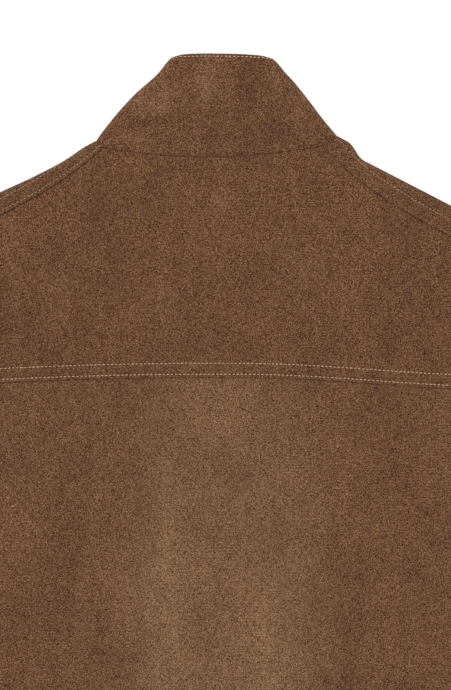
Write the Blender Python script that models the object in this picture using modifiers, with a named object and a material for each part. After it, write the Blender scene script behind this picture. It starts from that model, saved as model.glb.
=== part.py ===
"""A suede jacket laid out face down: the back is uppermost, the fronts lie on the surface.

Units are metres. The garment is drawn with the centre back of the neck seam at (0, 0), +Y towards
the collar and +Z up, and is moved at the end so that the origin is under the middle of its footprint.
Each panel is an open sheet, its outer face, given its wall by Solidify. Where one panel is sewn over
another it lies a cloth's thickness higher and the lower one runs on beneath it.
"""

import math

import bmesh
import bpy
from mathutils import Vector

# Cloth and seams.
CLOTH = 0.0015          # one layer of suede
COLLAR_WALL = 0.0028    # two layers of suede and their interlining
GAP = 0.0003            # clear space between neighbouring pieces
STEP = CLOTH + GAP      # height gained where one panel lies on another
LAP = 0.009             # how far a panel runs under the one sewn over it

# Body, laid flat.
BACK_LENGTH = 0.620     # neck seam to hem
HEM_HALF = 0.262
CHEST_HALF = 0.276      # below the underarm
YOKE_DEPTH = 0.150      # neck seam to the yoke's lower edge, at the centre back
YOKE_ARCH = 0.0090      # the yoke's edge is this much lower at the armholes
YOKE_DROP = 0.0038      # and has slipped this much further down on the right
YOKE_DROP_ENDS = 0.020, 0.170
SHOULDER = Vector((0.228, -0.0675))
UNDERARM = Vector((0.288, -0.310))
ARMHOLE_PULL = (Vector((0.203, -0.150)), Vector((0.238, -0.245)))   # the armhole's two Bezier handles
UNDERARM_CURVE = 0.042  # length over which the side curves out to the underarm

# Heights above the surface it lies on.
BACK_TOP = 0.0050       # the lower back's outer face
PLACKET_RISE = 0.0034   # extra height of the back over the buttoned edges
PLACKET_SPREAD = 0.060
SHOULDER_ROLL = (BACK_TOP + 2 * STEP) / 2
SIDE_ROLL = BACK_TOP / 2
ROLL_ANGLES = (0, 30, 60, 90)
CORNER_ROLL = 0.4       # how far the side's roll has formed where it meets the underarm
ROLL_FORMED = 0.050     # and the length below it over which the rest forms
EDGE_UPRIGHT = 0.0007   # the side seam's edges stand upright for this much, either side of the seam

# The shoulder fold at each side, -1 left and +1 right: the neck end of its straight run, how far it
# swells out beside the collar and over what length, and how far behind the fold the seam settles.
SHOULDERS = {
    -1: {"neck": Vector((-0.0802, 0.0111)), "swell": 0.0010, "ends": (0.010, 0.028),
         "seam_in": 0.0165, "seam_ease": 0.045},
    +1: {"neck": Vector((0.0800, 0.0089)), "swell": 0.0065, "ends": (0.008, 0.024),
         "seam_in": 0.0200, "seam_ease": 0.033},
}
SEAM_START = 0.0046     # the shoulder seam's distance behind the fold at the neck
SWELL_ROLL = 0.6        # share of the swell that widens the shoulder's roll
SEAM_TO_ARMHOLE = 0.6   # from this share of the shoulder on, the seam eases to its armhole station

# Fronts and their buttons.
FRONT_NECK = -0.082     # the neck seam at the centre front
FRONT_LAP = 0.015       # each front passes the centre line by this
BUTTON_COUNT = 6
BUTTON_RADIUS = 0.0095
BUTTON_HEIGHT = 0.0026
BUTTON_SIDES = 16
BUTTON_FIRST, BUTTON_LAST = -0.112, -0.572
RIDGE_FLAT, RIDGE_FOOT = 0.013, 0.060   # the fronts rise over the buttons between these half widths

# The collar, folded flat at both sides of the neck.
COLLAR_HEIGHT = 0.0705  # above the neck seam at the centre back
COLLAR_FRONT_TOP = -0.012
COLLAR_CENTRE_GAP = GAP
COLLAR_TOP_CORNERS = {-1: Vector((-0.0285, 0.0702)), +1: Vector((0.0408, 0.0692))}
COLLAR_CORNER = 0.0020  # rounding of its top corners
COLLAR_BOW = {-1: 0.0027, +1: 0.0001}   # the folds bow outwards, most at a third of the way up
BOW_PEAK = 27 / 4
COLLAR_SWELL = 0.0022
COLLAR_EDGE_TOP = 0.0088
COLLAR_EASE = 0.030     # within this of the folds its height eases to theirs

# Sleeves.
CUFF_OUTER, CUFF_INNER = Vector((0.683, -0.512)), Vector((0.587, -0.592))
OUTER_PULL = (Vector((0.369, -0.143)), Vector((0.554, -0.359)))
INNER_PULL = (Vector((0.336, -0.292)), Vector((0.459, -0.439)))
SLEEVE_ROLL = 0.0032
SLEEVE_CROWN = 0.0006

# Distances down the armhole from the shoulder point, shared by every piece that meets there.
ARMHOLE_STATIONS = (0.020, 0.045, 0.070, 0.092, 0.118, 0.147, 0.176, 0.203, 0.228, 0.246)
YOKE_STATION = 0.092

# Sections of the lower back: height at the centre, and the armhole distance or side height it runs to.
BACK_SECTIONS = (
    {"centre": -0.178, "arm": 0.118},
    {"centre": -0.208, "arm": 0.147},
    {"centre": -0.238, "arm": 0.176},
    {"centre": -0.266, "arm": 0.203},
    {"centre": -0.290, "arm": 0.228},
    {"centre": -0.306, "arm": 0.246},
    {"centre": -0.318, "arm": "roll"},
    {"centre": -0.324, "arm": "end"},
    {"centre": -0.334, "side": -0.322},
    {"centre": -0.362, "side": -0.352},
    {"centre": -0.398, "side": -0.394},
    {"centre": -0.440, "side": -0.440},
    {"centre": -0.495, "side": -0.495},
    {"centre": -0.558, "side": -0.557},
    {"centre": -0.620, "side": -0.618},
)

# Sections of a front: where it starts, on the centre edge or as a share of the neck curve, and where
# it ends, on the side or the armhole.
FRONT_SECTIONS = (
    {"edge": -0.620, "side": -0.618},
    {"edge": -0.558, "side": -0.557},
    {"edge": -0.495, "side": -0.495},
    {"edge": -0.430, "side": -0.440},
    {"edge": -0.374, "side": -0.394},
    {"edge": -0.324, "side": -0.352},
    {"edge": -0.292, "side": -0.322},
    {"edge": -0.278, "arm": "end"},
    {"edge": -0.270, "arm": "roll"},
    {"edge": -0.255, "arm": 0.246},
    {"edge": -0.228, "arm": 0.228},
    {"edge": -0.196, "arm": 0.203},
    {"edge": -0.160, "arm": 0.176},
    {"edge": -0.122, "arm": 0.147},
    {"edge": FRONT_NECK, "arm": 0.118},
    {"neck": 0.02, "arm": 0.092},
    {"neck": 0.20, "arm": 0.070},
    {"neck": 0.40, "arm": 0.057},
    {"neck": 0.60, "arm": 0.045},
    {"neck": 0.80, "arm": 0.033},
    {"neck": 0.92, "arm": 0.020},
)
NECK_STATIONS = tuple(row["neck"] for row in FRONT_SECTIONS if "neck" in row)
FRONT_NEAR = (0.0, 0.017, 0.038, 0.052, 0.080)   # along a front's section, from its inner end
FRONT_FAR = (0.25, 0.50, 0.75)          # shares of the rest of it
LIFT_ENDS = (0.024, 0.036)              # the right front comes down off the left one between these
SHOULDER_SAMPLES = 12

# Where the other pieces are drawn, as shares of their width or length.
BACK_SHARES = tuple(k / 8 for k in range(-8, 9))
YOKE_NECK_SHARE = 0.375
YOKE_LEVELS = (0.0, 0.12, 0.234, 0.40, 0.558, 0.72, 0.883, 1.0)
COLLAR_LEVELS = (0.0, 0.14, 0.34, 0.56, 0.80, 0.95, 1.0)
COLLAR_SAMPLES = 12
SLEEVE_LENGTHS = (0.0, 0.05, 0.12, 0.21, 0.31, 0.41, 0.51, 0.62, 0.74, 0.87, 1.0)

# Soft folds that stand up from the back: centre, half width, half length, lean and height.
BACK_FOLDS = (
    {"x": -0.030, "y": -0.350, "across": 0.034, "along": 0.160, "lean": 3, "height": 0.0014},
    {"x": 0.050, "y": -0.420, "across": 0.036, "along": 0.150, "lean": -7, "height": 0.0017},
    {"x": -0.128, "y": -0.400, "across": 0.040, "along": 0.170, "lean": -5, "height": 0.0012},
    {"x": 0.150, "y": -0.390, "across": 0.042, "along": 0.170, "lean": 9, "height": 0.0014},
    {"x": 0.205, "y": -0.520, "across": 0.036, "along": 0.080, "lean": -12, "height": 0.0010},
    {"x": -0.205, "y": -0.500, "across": 0.036, "along": 0.090, "lean": 14, "height": 0.0010},
)

# Soft folds of a sleeve's upper side, as shares of its width and length.
SLEEVE_FOLDS = (
    {"u": 0.42, "v": 0.20, "across": 0.20, "along": 0.10, "height": 0.0010},
    {"u": 0.62, "v": 0.42, "across": 0.24, "along": 0.07, "height": 0.0011},
    {"u": 0.40, "v": 0.52, "across": 0.24, "along": 0.06, "height": 0.0012},
    {"u": 0.60, "v": 0.72, "across": 0.22, "along": 0.09, "height": 0.0008},
)

SUEDE = (0.136, 0.072, 0.036)
BUTTON_BROWN = (0.045, 0.022, 0.012)


# Shapes of one number.

def smooth(low, high, x):
    """0 up to low, 1 from high on, and a smooth ramp between them."""
    t = min(1.0, max(0.0, (x - low) / (high - low)))
    return t * t * (3 - 2 * t)


def hump(x, half):
    """1 at 0, falling smoothly to 0 at half a width either way."""
    return 0.5 + 0.5 * math.cos(math.pi * x / half) if abs(x) < half else 0.0


def roll_loss(distance, reach):
    """Height lost beside a rolled edge: all of reach at the fold, none from reach inwards."""
    if distance >= reach:
        return 0.0
    share = 1 - distance / reach
    return reach * (1 - math.sqrt(1 - share * share))


def roll_distances(reach):
    """Distances in from a fold at which its roll is drawn, from the fold inwards."""
    return [reach * (1 - math.cos(math.radians(angle))) for angle in ROLL_ANGLES]


def side_profile(roll):
    """(distance in from the side, height lost) down to the side seam; flat when roll is 0."""
    turn = SIDE_ROLL - EDGE_UPRIGHT
    profile = []
    for angle in ROLL_ANGLES[::-1]:
        inwards = turn * (1 - math.cos(math.radians(angle)))
        lost = turn * (1 - math.sin(math.radians(angle)))
        profile.append((inwards + EDGE_UPRIGHT * (1 - roll) ** 2, lost * roll))
    profile.append((0.0, (SIDE_ROLL - GAP) * roll))
    return profile


def bezier(ends, pulls, t):
    (a, d), (b, c) = ends, pulls
    s = 1 - t
    return a * s ** 3 + b * 3 * s * s * t + c * 3 * s * t * t + d * t ** 3


def turned(v):
    """v turned a quarter left."""
    return Vector((-v.y, v.x))


# Plan of the body.

def mirrored(point, side):
    """A point drawn for the right side, on the side asked for."""
    return Vector((point.x * side, point.y))


class Armhole:
    """The right armhole, read by distance from the shoulder point, straight between its stations."""

    def __init__(self, fine=400):
        curve = [bezier((SHOULDER, UNDERARM), ARMHOLE_PULL, i / fine) for i in range(fine + 1)]
        run = [0.0]
        for a, b in zip(curve, curve[1:]):
            run.append(run[-1] + (b - a).length)
        self.length = run[-1]
        self.reach = [0.0, *ARMHOLE_STATIONS, self.length]
        self.points = [curve[min(range(fine + 1), key=lambda k: abs(run[k] - d))] for d in self.reach]

    def at(self, distance, inset=0.0):
        """The point that far down, moved inset towards the body."""
        distance = min(self.length, max(0.0, distance))
        i = next(k for k in range(1, len(self.reach)) if self.reach[k] >= distance)
        a, b = self.points[i - 1], self.points[i]
        t = (distance - self.reach[i - 1]) / (self.reach[i] - self.reach[i - 1])
        return a.lerp(b, t) - turned((b - a).normalized()) * inset


ARMHOLE = Armhole()


def shoulder_run(side):
    """(neck end, unit direction to the shoulder point, length) of the straight part of the fold."""
    start = SHOULDERS[side]["neck"]
    run = mirrored(SHOULDER, side) - start
    return start, run.normalized(), run.length


def swell(side, s):
    low, high = SHOULDERS[side]["ends"]
    return SHOULDERS[side]["swell"] * (1 - smooth(low, high, s))


def shoulder_out(side, s):
    """Unit direction in plan in which the shoulder rolls over, at distance s from the neck."""
    _, along, length = shoulder_run(side)
    square = turned(along) * side
    top = COLLAR_TOP_CORNERS[side] - SHOULDERS[side]["neck"]
    collar_square = -turned(top.normalized()) * side
    neck = (square + collar_square).normalized()
    first = ARMHOLE.at(0.004) - ARMHOLE.at(0.0)
    arm = -mirrored(first, side).normalized()
    return neck.lerp(arm, s / length).normalized()


def shoulder_roll(side, s):
    """How far in from the fold the shoulder's roll reaches."""
    return SHOULDER_ROLL + SWELL_ROLL * swell(side, s)


def seam_distance(side, s):
    """How far in from the fold the shoulder seam lies."""
    ease = 1 - math.exp(-s / SHOULDERS[side]["seam_ease"])
    settled = SHOULDERS[side]["seam_in"] - SEAM_START
    end = ARMHOLE_STATIONS[0]
    _, _, length = shoulder_run(side)
    free = SEAM_START + settled * ease + swell(side, s)
    return free + (end - free) * smooth(SEAM_TO_ARMHOLE * length, length, s)


def shoulder_point(side, s, distance):
    """Plan point at s along the shoulder fold and that distance in from it."""
    start, along, length = shoulder_run(side)
    fold = start + along * s + turned(along) * side * swell(side, s)
    point = fold - shoulder_out(side, s) * distance
    straight = mirrored(SHOULDER, side) - shoulder_out(side, length) * distance
    curved = mirrored(ARMHOLE.at(distance, GAP / 2), side)
    return point + (curved - straight) * (s / length) ** 4


def neck_end(side):
    """Where the neck seam meets the shoulder's roll."""
    return shoulder_point(side, 0.0, shoulder_roll(side, 0.0))


def front_neck(side, share):
    """The neck seam on a front, from the centre front at 0 to the shoulder's roll at 1."""
    end = neck_end(side)
    angle = share * math.pi / 2
    drop = (end.y - FRONT_NECK) * math.cos(angle)
    return Vector((end.x * math.sin(angle), end.y - drop))


def back_neck(u):
    """The neck seam on the back, from the left shoulder at -1 to the right at +1."""
    left, right = neck_end(-1), neck_end(1)
    chord = left.lerp(right, (u + 1) / 2)
    dip = left.lerp(right, 0.5).y
    return Vector((chord.x, chord.y - dip * (1 - u * u)))


def yoke_edge(x):
    """The yoke's lower edge, drawn to its station on each armhole."""
    end = mirrored(ARMHOLE.at(YOKE_STATION, GAP / 2), math.copysign(1, x))

    def free(across):
        arch = YOKE_ARCH * (across / SHOULDER.x) ** 2
        return -YOKE_DEPTH - arch - YOKE_DROP * smooth(*YOKE_DROP_ENDS, across)

    return free(x) + (end.y - free(end.x)) * (x / end.x) ** 6


def side_x(y):
    """Half width of the body at a height below the underarm."""
    start = UNDERARM.y - UNDERARM_CURVE
    plain = CHEST_HALF + (HEM_HALF - CHEST_HALF) * (start - y) / (start + BACK_LENGTH)
    curved = max(0.0, (y - start) / UNDERARM_CURVE)
    return plain + (UNDERARM.x - CHEST_HALF) * curved * curved


# Heights.

def back_height(x, y):
    """Outer face of the lower back."""
    z = BACK_TOP + PLACKET_RISE * math.exp(-(x / PLACKET_SPREAD) ** 2)
    for fold in BACK_FOLDS:
        lean = math.radians(fold["lean"])
        dx, dy = x - fold["x"], y - fold["y"]
        across = dx * math.cos(lean) + dy * math.sin(lean)
        along = dy * math.cos(lean) - dx * math.sin(lean)
        z += fold["height"] * hump(across, fold["across"]) * hump(along, fold["along"])
    return z


def shoulder_height(point):
    """Outer face of a front where it lies on the yoke, behind the shoulder's fold."""
    return back_height(point.x, point.y) + 2 * STEP


def ridge(x):
    """How far the fronts are lifted off the surface by the buttons."""
    return (BUTTON_HEIGHT + GAP) * (1 - smooth(RIDGE_FLAT, RIDGE_FOOT, abs(x)))


# Making objects.

def clear_scene():
    for obj in list(bpy.data.objects):
        bpy.data.objects.remove(obj)


def material(name, colour, roughness):
    made = bpy.data.materials.new(name)
    made.use_nodes = True
    shader = made.node_tree.nodes["Principled BSDF"]
    shader.inputs["Base Color"].default_value = (*colour, 1)
    shader.inputs["Roughness"].default_value = roughness
    shader.inputs["Metallic"].default_value = 0.0
    return made


def add_sheet(name, rows, wall, finish, flip=False, ring=False):
    """A sheet through rows of points, its outer face, with its wall inside it."""
    mesh = bmesh.new()
    grid = [[mesh.verts.new(point) for point in row] for row in rows]
    width = len(rows[0])
    for lower, upper in zip(grid, grid[1:]):
        for j in range(width if ring else width - 1):
            k = (j + 1) % width
            corners = (lower[j], lower[k], upper[k], upper[j])
            mesh.faces.new(corners[::-1] if flip else corners)
    data = bpy.data.meshes.new(name)
    mesh.to_mesh(data)
    mesh.free()
    data.shade_smooth()
    data.materials.append(finish)
    obj = bpy.data.objects.new(name, data)
    PARTS.objects.link(obj)
    solid = obj.modifiers.new("wall", "SOLIDIFY")
    solid.thickness = wall
    solid.offset = -1.0
    solid.use_even_offset = True
    solid.use_quality_normals = True
    return obj


# Panels.

def section_end(row, side):
    """(outer end of a section in plan, how much of the side's roll it has)."""
    if "side" in row:
        formed = min(1.0, (UNDERARM.y - row["side"]) / ROLL_FORMED)
        end = Vector((side * side_x(row["side"]), row["side"]))
        return end, CORNER_ROLL + (1 - CORNER_ROLL) * formed
    if row["arm"] == "end":
        return mirrored(UNDERARM, side), CORNER_ROLL
    if row["arm"] == "roll":
        return mirrored(ARMHOLE.at(ARMHOLE.length - SIDE_ROLL, GAP / 2), side), 0.0
    return mirrored(ARMHOLE.at(row["arm"], GAP / 2), side), 0.0


def add_lower_back(finish):
    """The back below the yoke. Its top edge runs under the yoke's."""
    rows = []

    def add_row(line, half, roll):
        """line gives the section's height at a share of its half width."""
        row = []
        inner = half - side_profile(roll)[0][0]
        for share in BACK_SHARES:
            x, y = share * inner, line(share)
            row.append(Vector((x, y, back_height(x, y))))
        for distance, lost in side_profile(roll)[1:]:
            x, y = half - distance, line(1)
            row.insert(0, Vector((-x, y, back_height(-x, y) - lost)))
            row.append(Vector((x, y, back_height(x, y) - lost)))
        rows.append(row)

    lap_end = ARMHOLE.at(YOKE_STATION - LAP, GAP / 2)
    seam_end = ARMHOLE.at(YOKE_STATION, GAP / 2)
    add_row(lambda u: yoke_edge(u * lap_end.x) + LAP, lap_end.x, 0)
    add_row(lambda u: yoke_edge(u * seam_end.x), seam_end.x, 0)
    for section in BACK_SECTIONS:
        end, roll = section_end(section, 1)
        centre = section["centre"]
        add_row(lambda u, c=centre, e=end: c + (e.y - c) * abs(u) ** 3, end.x, roll)
    return add_sheet("back_lower", rows, CLOTH, finish, flip=True)


def add_yoke(finish):
    """The yoke across the shoulders, from its edge over the lower back up to the neck."""
    lap_station = ARMHOLE_STATIONS[0] - LAP
    seam_end = ARMHOLE.at(YOKE_STATION, GAP / 2)

    def bottom(u):
        x = u * seam_end.x
        return Vector((x, yoke_edge(x)))

    def top(u):
        side = 1 if u > 0 else -1
        if abs(u) <= YOKE_NECK_SHARE:
            point = back_neck(u / YOKE_NECK_SHARE)
            return Vector((point.x, point.y - GAP / 2))
        _, _, length = shoulder_run(side)
        s = length * (abs(u) - YOKE_NECK_SHARE) / (1 - YOKE_NECK_SHARE)
        clear = shoulder_roll(side, s) + 2 * GAP
        return shoulder_point(side, s, max(clear, seam_distance(side, s) - LAP))

    rows = []
    for level in YOKE_LEVELS:
        station = YOKE_STATION + (lap_station - YOKE_STATION) * level
        row = []
        for u in BACK_SHARES:
            side = 1 if u > 0 else -1
            low, high = bottom(u), top(u)
            point = low.lerp(high, level)
            arm = mirrored(ARMHOLE.at(station, GAP / 2), side)
            point += (arm - bottom(side).lerp(top(side), level)) * abs(u) ** 6
            row.append(Vector((point.x, point.y, back_height(point.x, point.y) + STEP)))
        rows.append(row)
    return add_sheet("back_yoke", rows, CLOTH, finish)


def front_row(start, end, roll, side, lift):
    """A front's section from the centre edge or neck to the side or armhole, outer face down."""
    out = end - start
    length = out.length
    out.normalize()
    profile = side_profile(roll)
    rest = length - FRONT_NEAR[-1] - profile[0][0]
    reach = [(distance, 0.0) for distance in FRONT_NEAR]
    reach += [(FRONT_NEAR[-1] + rest * share, 0.0) for share in FRONT_FAR]
    reach += [(length - distance, gained) for distance, gained in profile]
    row = []
    for distance, gained in reach:
        point = start + out * distance
        row.append(Vector((point.x, point.y, ridge(point.x) + gained + lift(point.x * side))))
    return row


def add_front(side, name, finish):
    """A front: flat on the surface, over the shoulder's fold and down to the shoulder seam."""
    _, _, length = shoulder_run(side)

    def lift(across):
        """The right front lies over the left one's edge."""
        return STEP * (1 - smooth(*LIFT_ENDS, across)) if side > 0 else 0.0

    rows = []
    for section in FRONT_SECTIONS:
        if "edge" in section:
            start = Vector((-side * FRONT_LAP, section["edge"]))
        else:
            start = front_neck(side, section["neck"])
            away = (start - front_neck(side, section["neck"] - 0.02)).normalized()
            start += -turned(away) * side * GAP / 2
        end, roll = section_end(section, side)
        rows.append(front_row(start, end, roll, side, lift))

    def shoulder_row(share_of_height, distance):
        """distance gives how far in from the fold the row lies, at s along it."""
        row = []
        for k in range(SHOULDER_SAMPLES + 1):
            share = k / SHOULDER_SAMPLES
            s = share * length
            point = shoulder_point(side, s, distance(s))
            height = shoulder_height(point) * share_of_height
            clear = shoulder_run(side)[1] * (GAP / 2) * (1 - share)
            row.append(Vector((point.x + clear.x, point.y + clear.y, height)))
        rows.append(row)

    angles = ROLL_ANGLES[::-1] + tuple(-angle for angle in ROLL_ANGLES[1:])
    for angle in angles:
        inwards = 1 - math.cos(math.radians(angle))
        height = (1 - math.sin(math.radians(angle))) / 2
        shoulder_row(height, lambda s, i=inwards: shoulder_roll(side, s) * i)
    for share in (0.5, 1.0):
        def strip(s, part=share):
            start = shoulder_roll(side, s)
            return start + (max(seam_distance(side, s), start + GAP) - start) * part
        shoulder_row(1.0, strip)
    return add_sheet(name, rows, CLOTH, finish, flip=side > 0)


def collar_section(side, level):
    """(fold point, inward step of the roll on the back, the same on the front) at a level up it."""
    _, along, _ = shoulder_run(side)
    base = shoulder_point(side, 0.0, 0.0) - along * GAP / 2
    top = COLLAR_TOP_CORNERS[side]
    chord = top - base
    rise = chord.normalized()
    square = -turned(rise) * side
    fold = base + chord * level + square * COLLAR_BOW[side] * BOW_PEAK * level * (1 - level) ** 2
    fold -= square * COLLAR_CORNER * smooth(0.85, 1.0, level)
    inwards = -shoulder_out(side, 0)
    tip = Vector((side * COLLAR_CENTRE_GAP, COLLAR_FRONT_TOP))
    steps = []
    for edge in (Vector((-side, 0)), (tip - top).normalized()):
        slanted = edge / abs(edge.dot(square))
        reach = shoulder_roll(side, 0) + (SHOULDER_ROLL - shoulder_roll(side, 0)) * level
        steps.append(inwards.lerp(slanted, level) * reach)
    return fold, steps[0], steps[1]


def add_collar(finish):
    """A stand collar: one band from centre front round the neck, folded flat at both neck points."""
    rows = []
    for level in COLLAR_LEVELS:
        halves, inner = {}, {}
        for side in (-1, 1):
            fold, back_step, front_step = collar_section(side, level)
            height = shoulder_height(fold)
            front = []
            for share in NECK_STATIONS:
                base = front_neck(side, share)
                away = (base - front_neck(side, share - 0.02)).normalized()
                base = base + turned(away) * side * GAP / 2
                tip = Vector((side * COLLAR_CENTRE_GAP, COLLAR_FRONT_TOP))
                point = base.lerp(tip.lerp(fold + front_step, share), level)
                point.x = side * max(COLLAR_CENTRE_GAP, side * point.x)
                front.append(Vector((point.x, point.y, ridge(point.x))))
            roll = []
            for angle in ROLL_ANGLES[::-1] + tuple(-a for a in ROLL_ANGLES[1:]):
                step = front_step if angle > 0 else back_step
                point = fold + step * (1 - math.cos(math.radians(angle)))
                roll.append(Vector((point.x, point.y, height / 2 * (1 - math.sin(math.radians(angle))))))
            halves[side] = front + roll
            inner[side] = fold + back_step
        left, right = inner[-1], inner[1]
        middle = left.lerp(right, 0.5).y
        centre = GAP + (COLLAR_HEIGHT - GAP) * level
        back = []
        for k in range(1, COLLAR_SAMPLES):
            u = 2 * k / COLLAR_SAMPLES - 1
            chord = left.lerp(right, k / COLLAR_SAMPLES)
            y = chord.y + (centre - middle) * (1 - u * u)
            seam_top = back_height(chord.x, y) + STEP - GAP
            z = seam_top * (1 - level) + COLLAR_EDGE_TOP * level
            z += COLLAR_SWELL * math.sin(math.pi * level)
            near = min((chord - left).length, (right - chord).length)
            beside = shoulder_height(left if u < 0 else right)
            z = beside + (z - beside) * smooth(0, COLLAR_EASE, near)
            back.append(Vector((chord.x, y, z)))
        rows.append(halves[-1] + back + halves[1][::-1])
    return add_sheet("collar", rows, COLLAR_WALL, finish)


def sleeve_roll(v):
    """(roll at the shoulder edge, roll at the underarm edge) at a share of the sleeve's length."""
    ease = smooth(0.0, 0.35, v)
    outer = SHOULDER_ROLL + (SLEEVE_ROLL - SHOULDER_ROLL) * ease
    inner = SIDE_ROLL + (SLEEVE_ROLL - SIDE_ROLL) * ease
    return outer, inner


def add_sleeve(side, name, finish):
    """A sleeve: a flattened tube from the armhole to an open cuff."""
    rows = []
    for v in SLEEVE_LENGTHS:
        outer_roll, inner_roll = sleeve_roll(v)
        outer = bezier((SHOULDER, CUFF_OUTER), OUTER_PULL, v)
        inner = bezier((UNDERARM, CUFF_INNER), INNER_PULL, v)
        keep = (1 - v) ** 3

        def place(distance):
            """Plan point that far down the section, where the armhole's own length is the whole."""
            u = distance / ARMHOLE.length
            arm = ARMHOLE.at(distance, -GAP / 2)
            straight = SHOULDER.lerp(UNDERARM, u)
            return outer.lerp(inner, u) + (arm - straight) * keep

        width = (outer - inner).length
        scale = ARMHOLE.length / width * (1 - keep) + keep
        outer_part = [d * scale for d in roll_distances(outer_roll)]
        inner_part = [ARMHOLE.length - d * scale for d in roll_distances(inner_roll)[::-1]]
        across = outer_part + list(ARMHOLE_STATIONS) + inner_part
        upper, lower = [], []
        for i, distance in enumerate(across):
            u = distance / ARMHOLE.length
            point = mirrored(place(distance), side)
            top = 2 * (outer_roll * (1 - u) + inner_roll * u)
            crown = SLEEVE_CROWN * smooth(0, 0.3, v) * 4 * u * (1 - u)
            for fold in SLEEVE_FOLDS:
                lean = (v - fold["v"]) + 0.12 * (u - fold["u"])
                crown += fold["height"] * hump(u - fold["u"], fold["across"]) * hump(lean, fold["along"])
            loss = roll_loss(distance / scale, outer_roll)
            loss += roll_loss((ARMHOLE.length - distance) / scale, inner_roll)
            upper.append(Vector((point.x, point.y, top + crown - loss)))
            if 0 < i < len(across) - 1:
                lower.append(Vector((point.x, point.y, loss)))
        rows.append(upper + lower[::-1])
    return add_sheet(name, rows, CLOTH, finish, flip=side < 0, ring=True)


def add_buttons(finish):
    """Flat turned buttons with a raised rim, down the centre front, face to the surface."""
    rim, well, bevel = BUTTON_RADIUS * 0.78, BUTTON_HEIGHT * 0.3, BUTTON_HEIGHT * 0.25
    profile = (
        (0.0, BUTTON_HEIGHT),
        (BUTTON_RADIUS - bevel, BUTTON_HEIGHT),
        (BUTTON_RADIUS, BUTTON_HEIGHT - bevel),
        (BUTTON_RADIUS, bevel),
        (BUTTON_RADIUS - bevel, 0.0),
        (rim, 0.0),
        (rim - well, well),
        (0.0, well),
    )
    data = bpy.data.meshes.new("button")
    edges = [(i, i + 1) for i in range(len(profile) - 1)]
    data.from_pydata([(r, 0, z) for r, z in profile], edges, [])
    data.materials.append(finish)
    for index in range(BUTTON_COUNT):
        y = BUTTON_FIRST + (BUTTON_LAST - BUTTON_FIRST) * index / (BUTTON_COUNT - 1)
        obj = bpy.data.objects.new(f"button_{index + 1}", data)
        PARTS.objects.link(obj)
        obj.location = (0, y, 0)
        turn = obj.modifiers.new("turn", "SCREW")
        turn.steps = turn.render_steps = BUTTON_SIDES
        turn.use_merge_vertices = True
        turn.merge_threshold = 0.0001
        turn.use_smooth_shade = False


def centre_footprint():
    """Moves every piece so that the origin is under the middle of the whole garment."""
    bpy.context.view_layer.update()
    graph = bpy.context.evaluated_depsgraph_get()
    corners = []
    for obj in PARTS.objects:
        shown = obj.evaluated_get(graph)
        corners += [shown.matrix_world @ Vector(corner) for corner in shown.bound_box]
    for axis in (0, 1):
        values = [corner[axis] for corner in corners]
        middle = (min(values) + max(values)) / 2
        for obj in PARTS.objects:
            obj.location[axis] -= middle


clear_scene()
PARTS = bpy.data.collections.new("suede_jacket")
bpy.context.scene.collection.children.link(PARTS)
suede = material("suede", SUEDE, 0.95)
horn = material("button_horn", BUTTON_BROWN, 0.45)
add_lower_back(suede)
add_yoke(suede)
add_front(-1, "front_left", suede)
add_front(1, "front_right", suede)
add_collar(suede)
add_sleeve(-1, "sleeve_left", suede)
add_sleeve(1, "sleeve_right", suede)
add_buttons(horn)
centre_footprint()
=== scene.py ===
import bisect
import math

import bmesh
import bpy
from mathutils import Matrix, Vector, noise


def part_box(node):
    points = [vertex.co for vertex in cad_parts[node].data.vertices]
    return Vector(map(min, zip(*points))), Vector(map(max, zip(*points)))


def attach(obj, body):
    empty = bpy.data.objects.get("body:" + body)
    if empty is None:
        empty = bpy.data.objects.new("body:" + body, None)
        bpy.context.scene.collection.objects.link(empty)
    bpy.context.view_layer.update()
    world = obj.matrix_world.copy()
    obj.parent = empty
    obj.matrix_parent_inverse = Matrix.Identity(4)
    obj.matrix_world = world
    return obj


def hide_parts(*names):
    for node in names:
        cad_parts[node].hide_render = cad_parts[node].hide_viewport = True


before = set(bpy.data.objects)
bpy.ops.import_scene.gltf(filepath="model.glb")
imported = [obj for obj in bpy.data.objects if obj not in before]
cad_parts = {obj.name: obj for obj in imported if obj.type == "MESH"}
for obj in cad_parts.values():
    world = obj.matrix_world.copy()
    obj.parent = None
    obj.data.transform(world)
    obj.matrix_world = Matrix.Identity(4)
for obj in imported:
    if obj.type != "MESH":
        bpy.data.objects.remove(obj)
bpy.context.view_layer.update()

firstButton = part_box("button_1")
neckCentre = Vector(((firstButton[0].x + firstButton[1].x) / 2,
                     (firstButton[0].y + firstButton[1].y) / 2 + 0.112, 0))   # centre back of the neck seam

# The body as it lies, in metres from the centre back of the neck seam, +Y towards the collar.
body = {
    "length": 0.620,
    "hemHalf": 0.262,
    "chestHalf": 0.276,
    "shoulder": Vector((0.228, -0.0675)),
    "underarm": Vector((0.288, -0.310)),
    "armholePull": (Vector((0.203, -0.150)), Vector((0.238, -0.245))),
    "underarmCurve": 0.042,
    "backTop": 0.0050,
    "placketRise": 0.0034,
    "placketSpread": 0.060,
    "step": 0.0013,         # height gained where one piece lies on another
    "gap": 0.0001,
    "wall": 0.0010,
    "edgeRound": 0.0009,
    "sideRound": 0.00235,
    "uneven": 0.00035,      # how far the cloth wanders from flat
    "hemStitch": 0.022,
}
shoulders = {
    -1: {"neck": Vector((-0.0802, 0.0091)), "swell": 0.0021, "swellEnds": (0.006, 0.030), "lift": 0.0025,
         "seamIn": 0.0165, "seamEase": 0.045},
    +1: {"neck": Vector((0.0800, 0.0089)), "swell": 0.0065, "swellEnds": (0.008, 0.024), "lift": 0.0,
         "seamIn": 0.0200, "seamEase": 0.033},
}
shoulderSeam = {"start": 0.0046, "armhole": 0.020, "easeFrom": 0.6, "swellRoll": 0.6}
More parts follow.
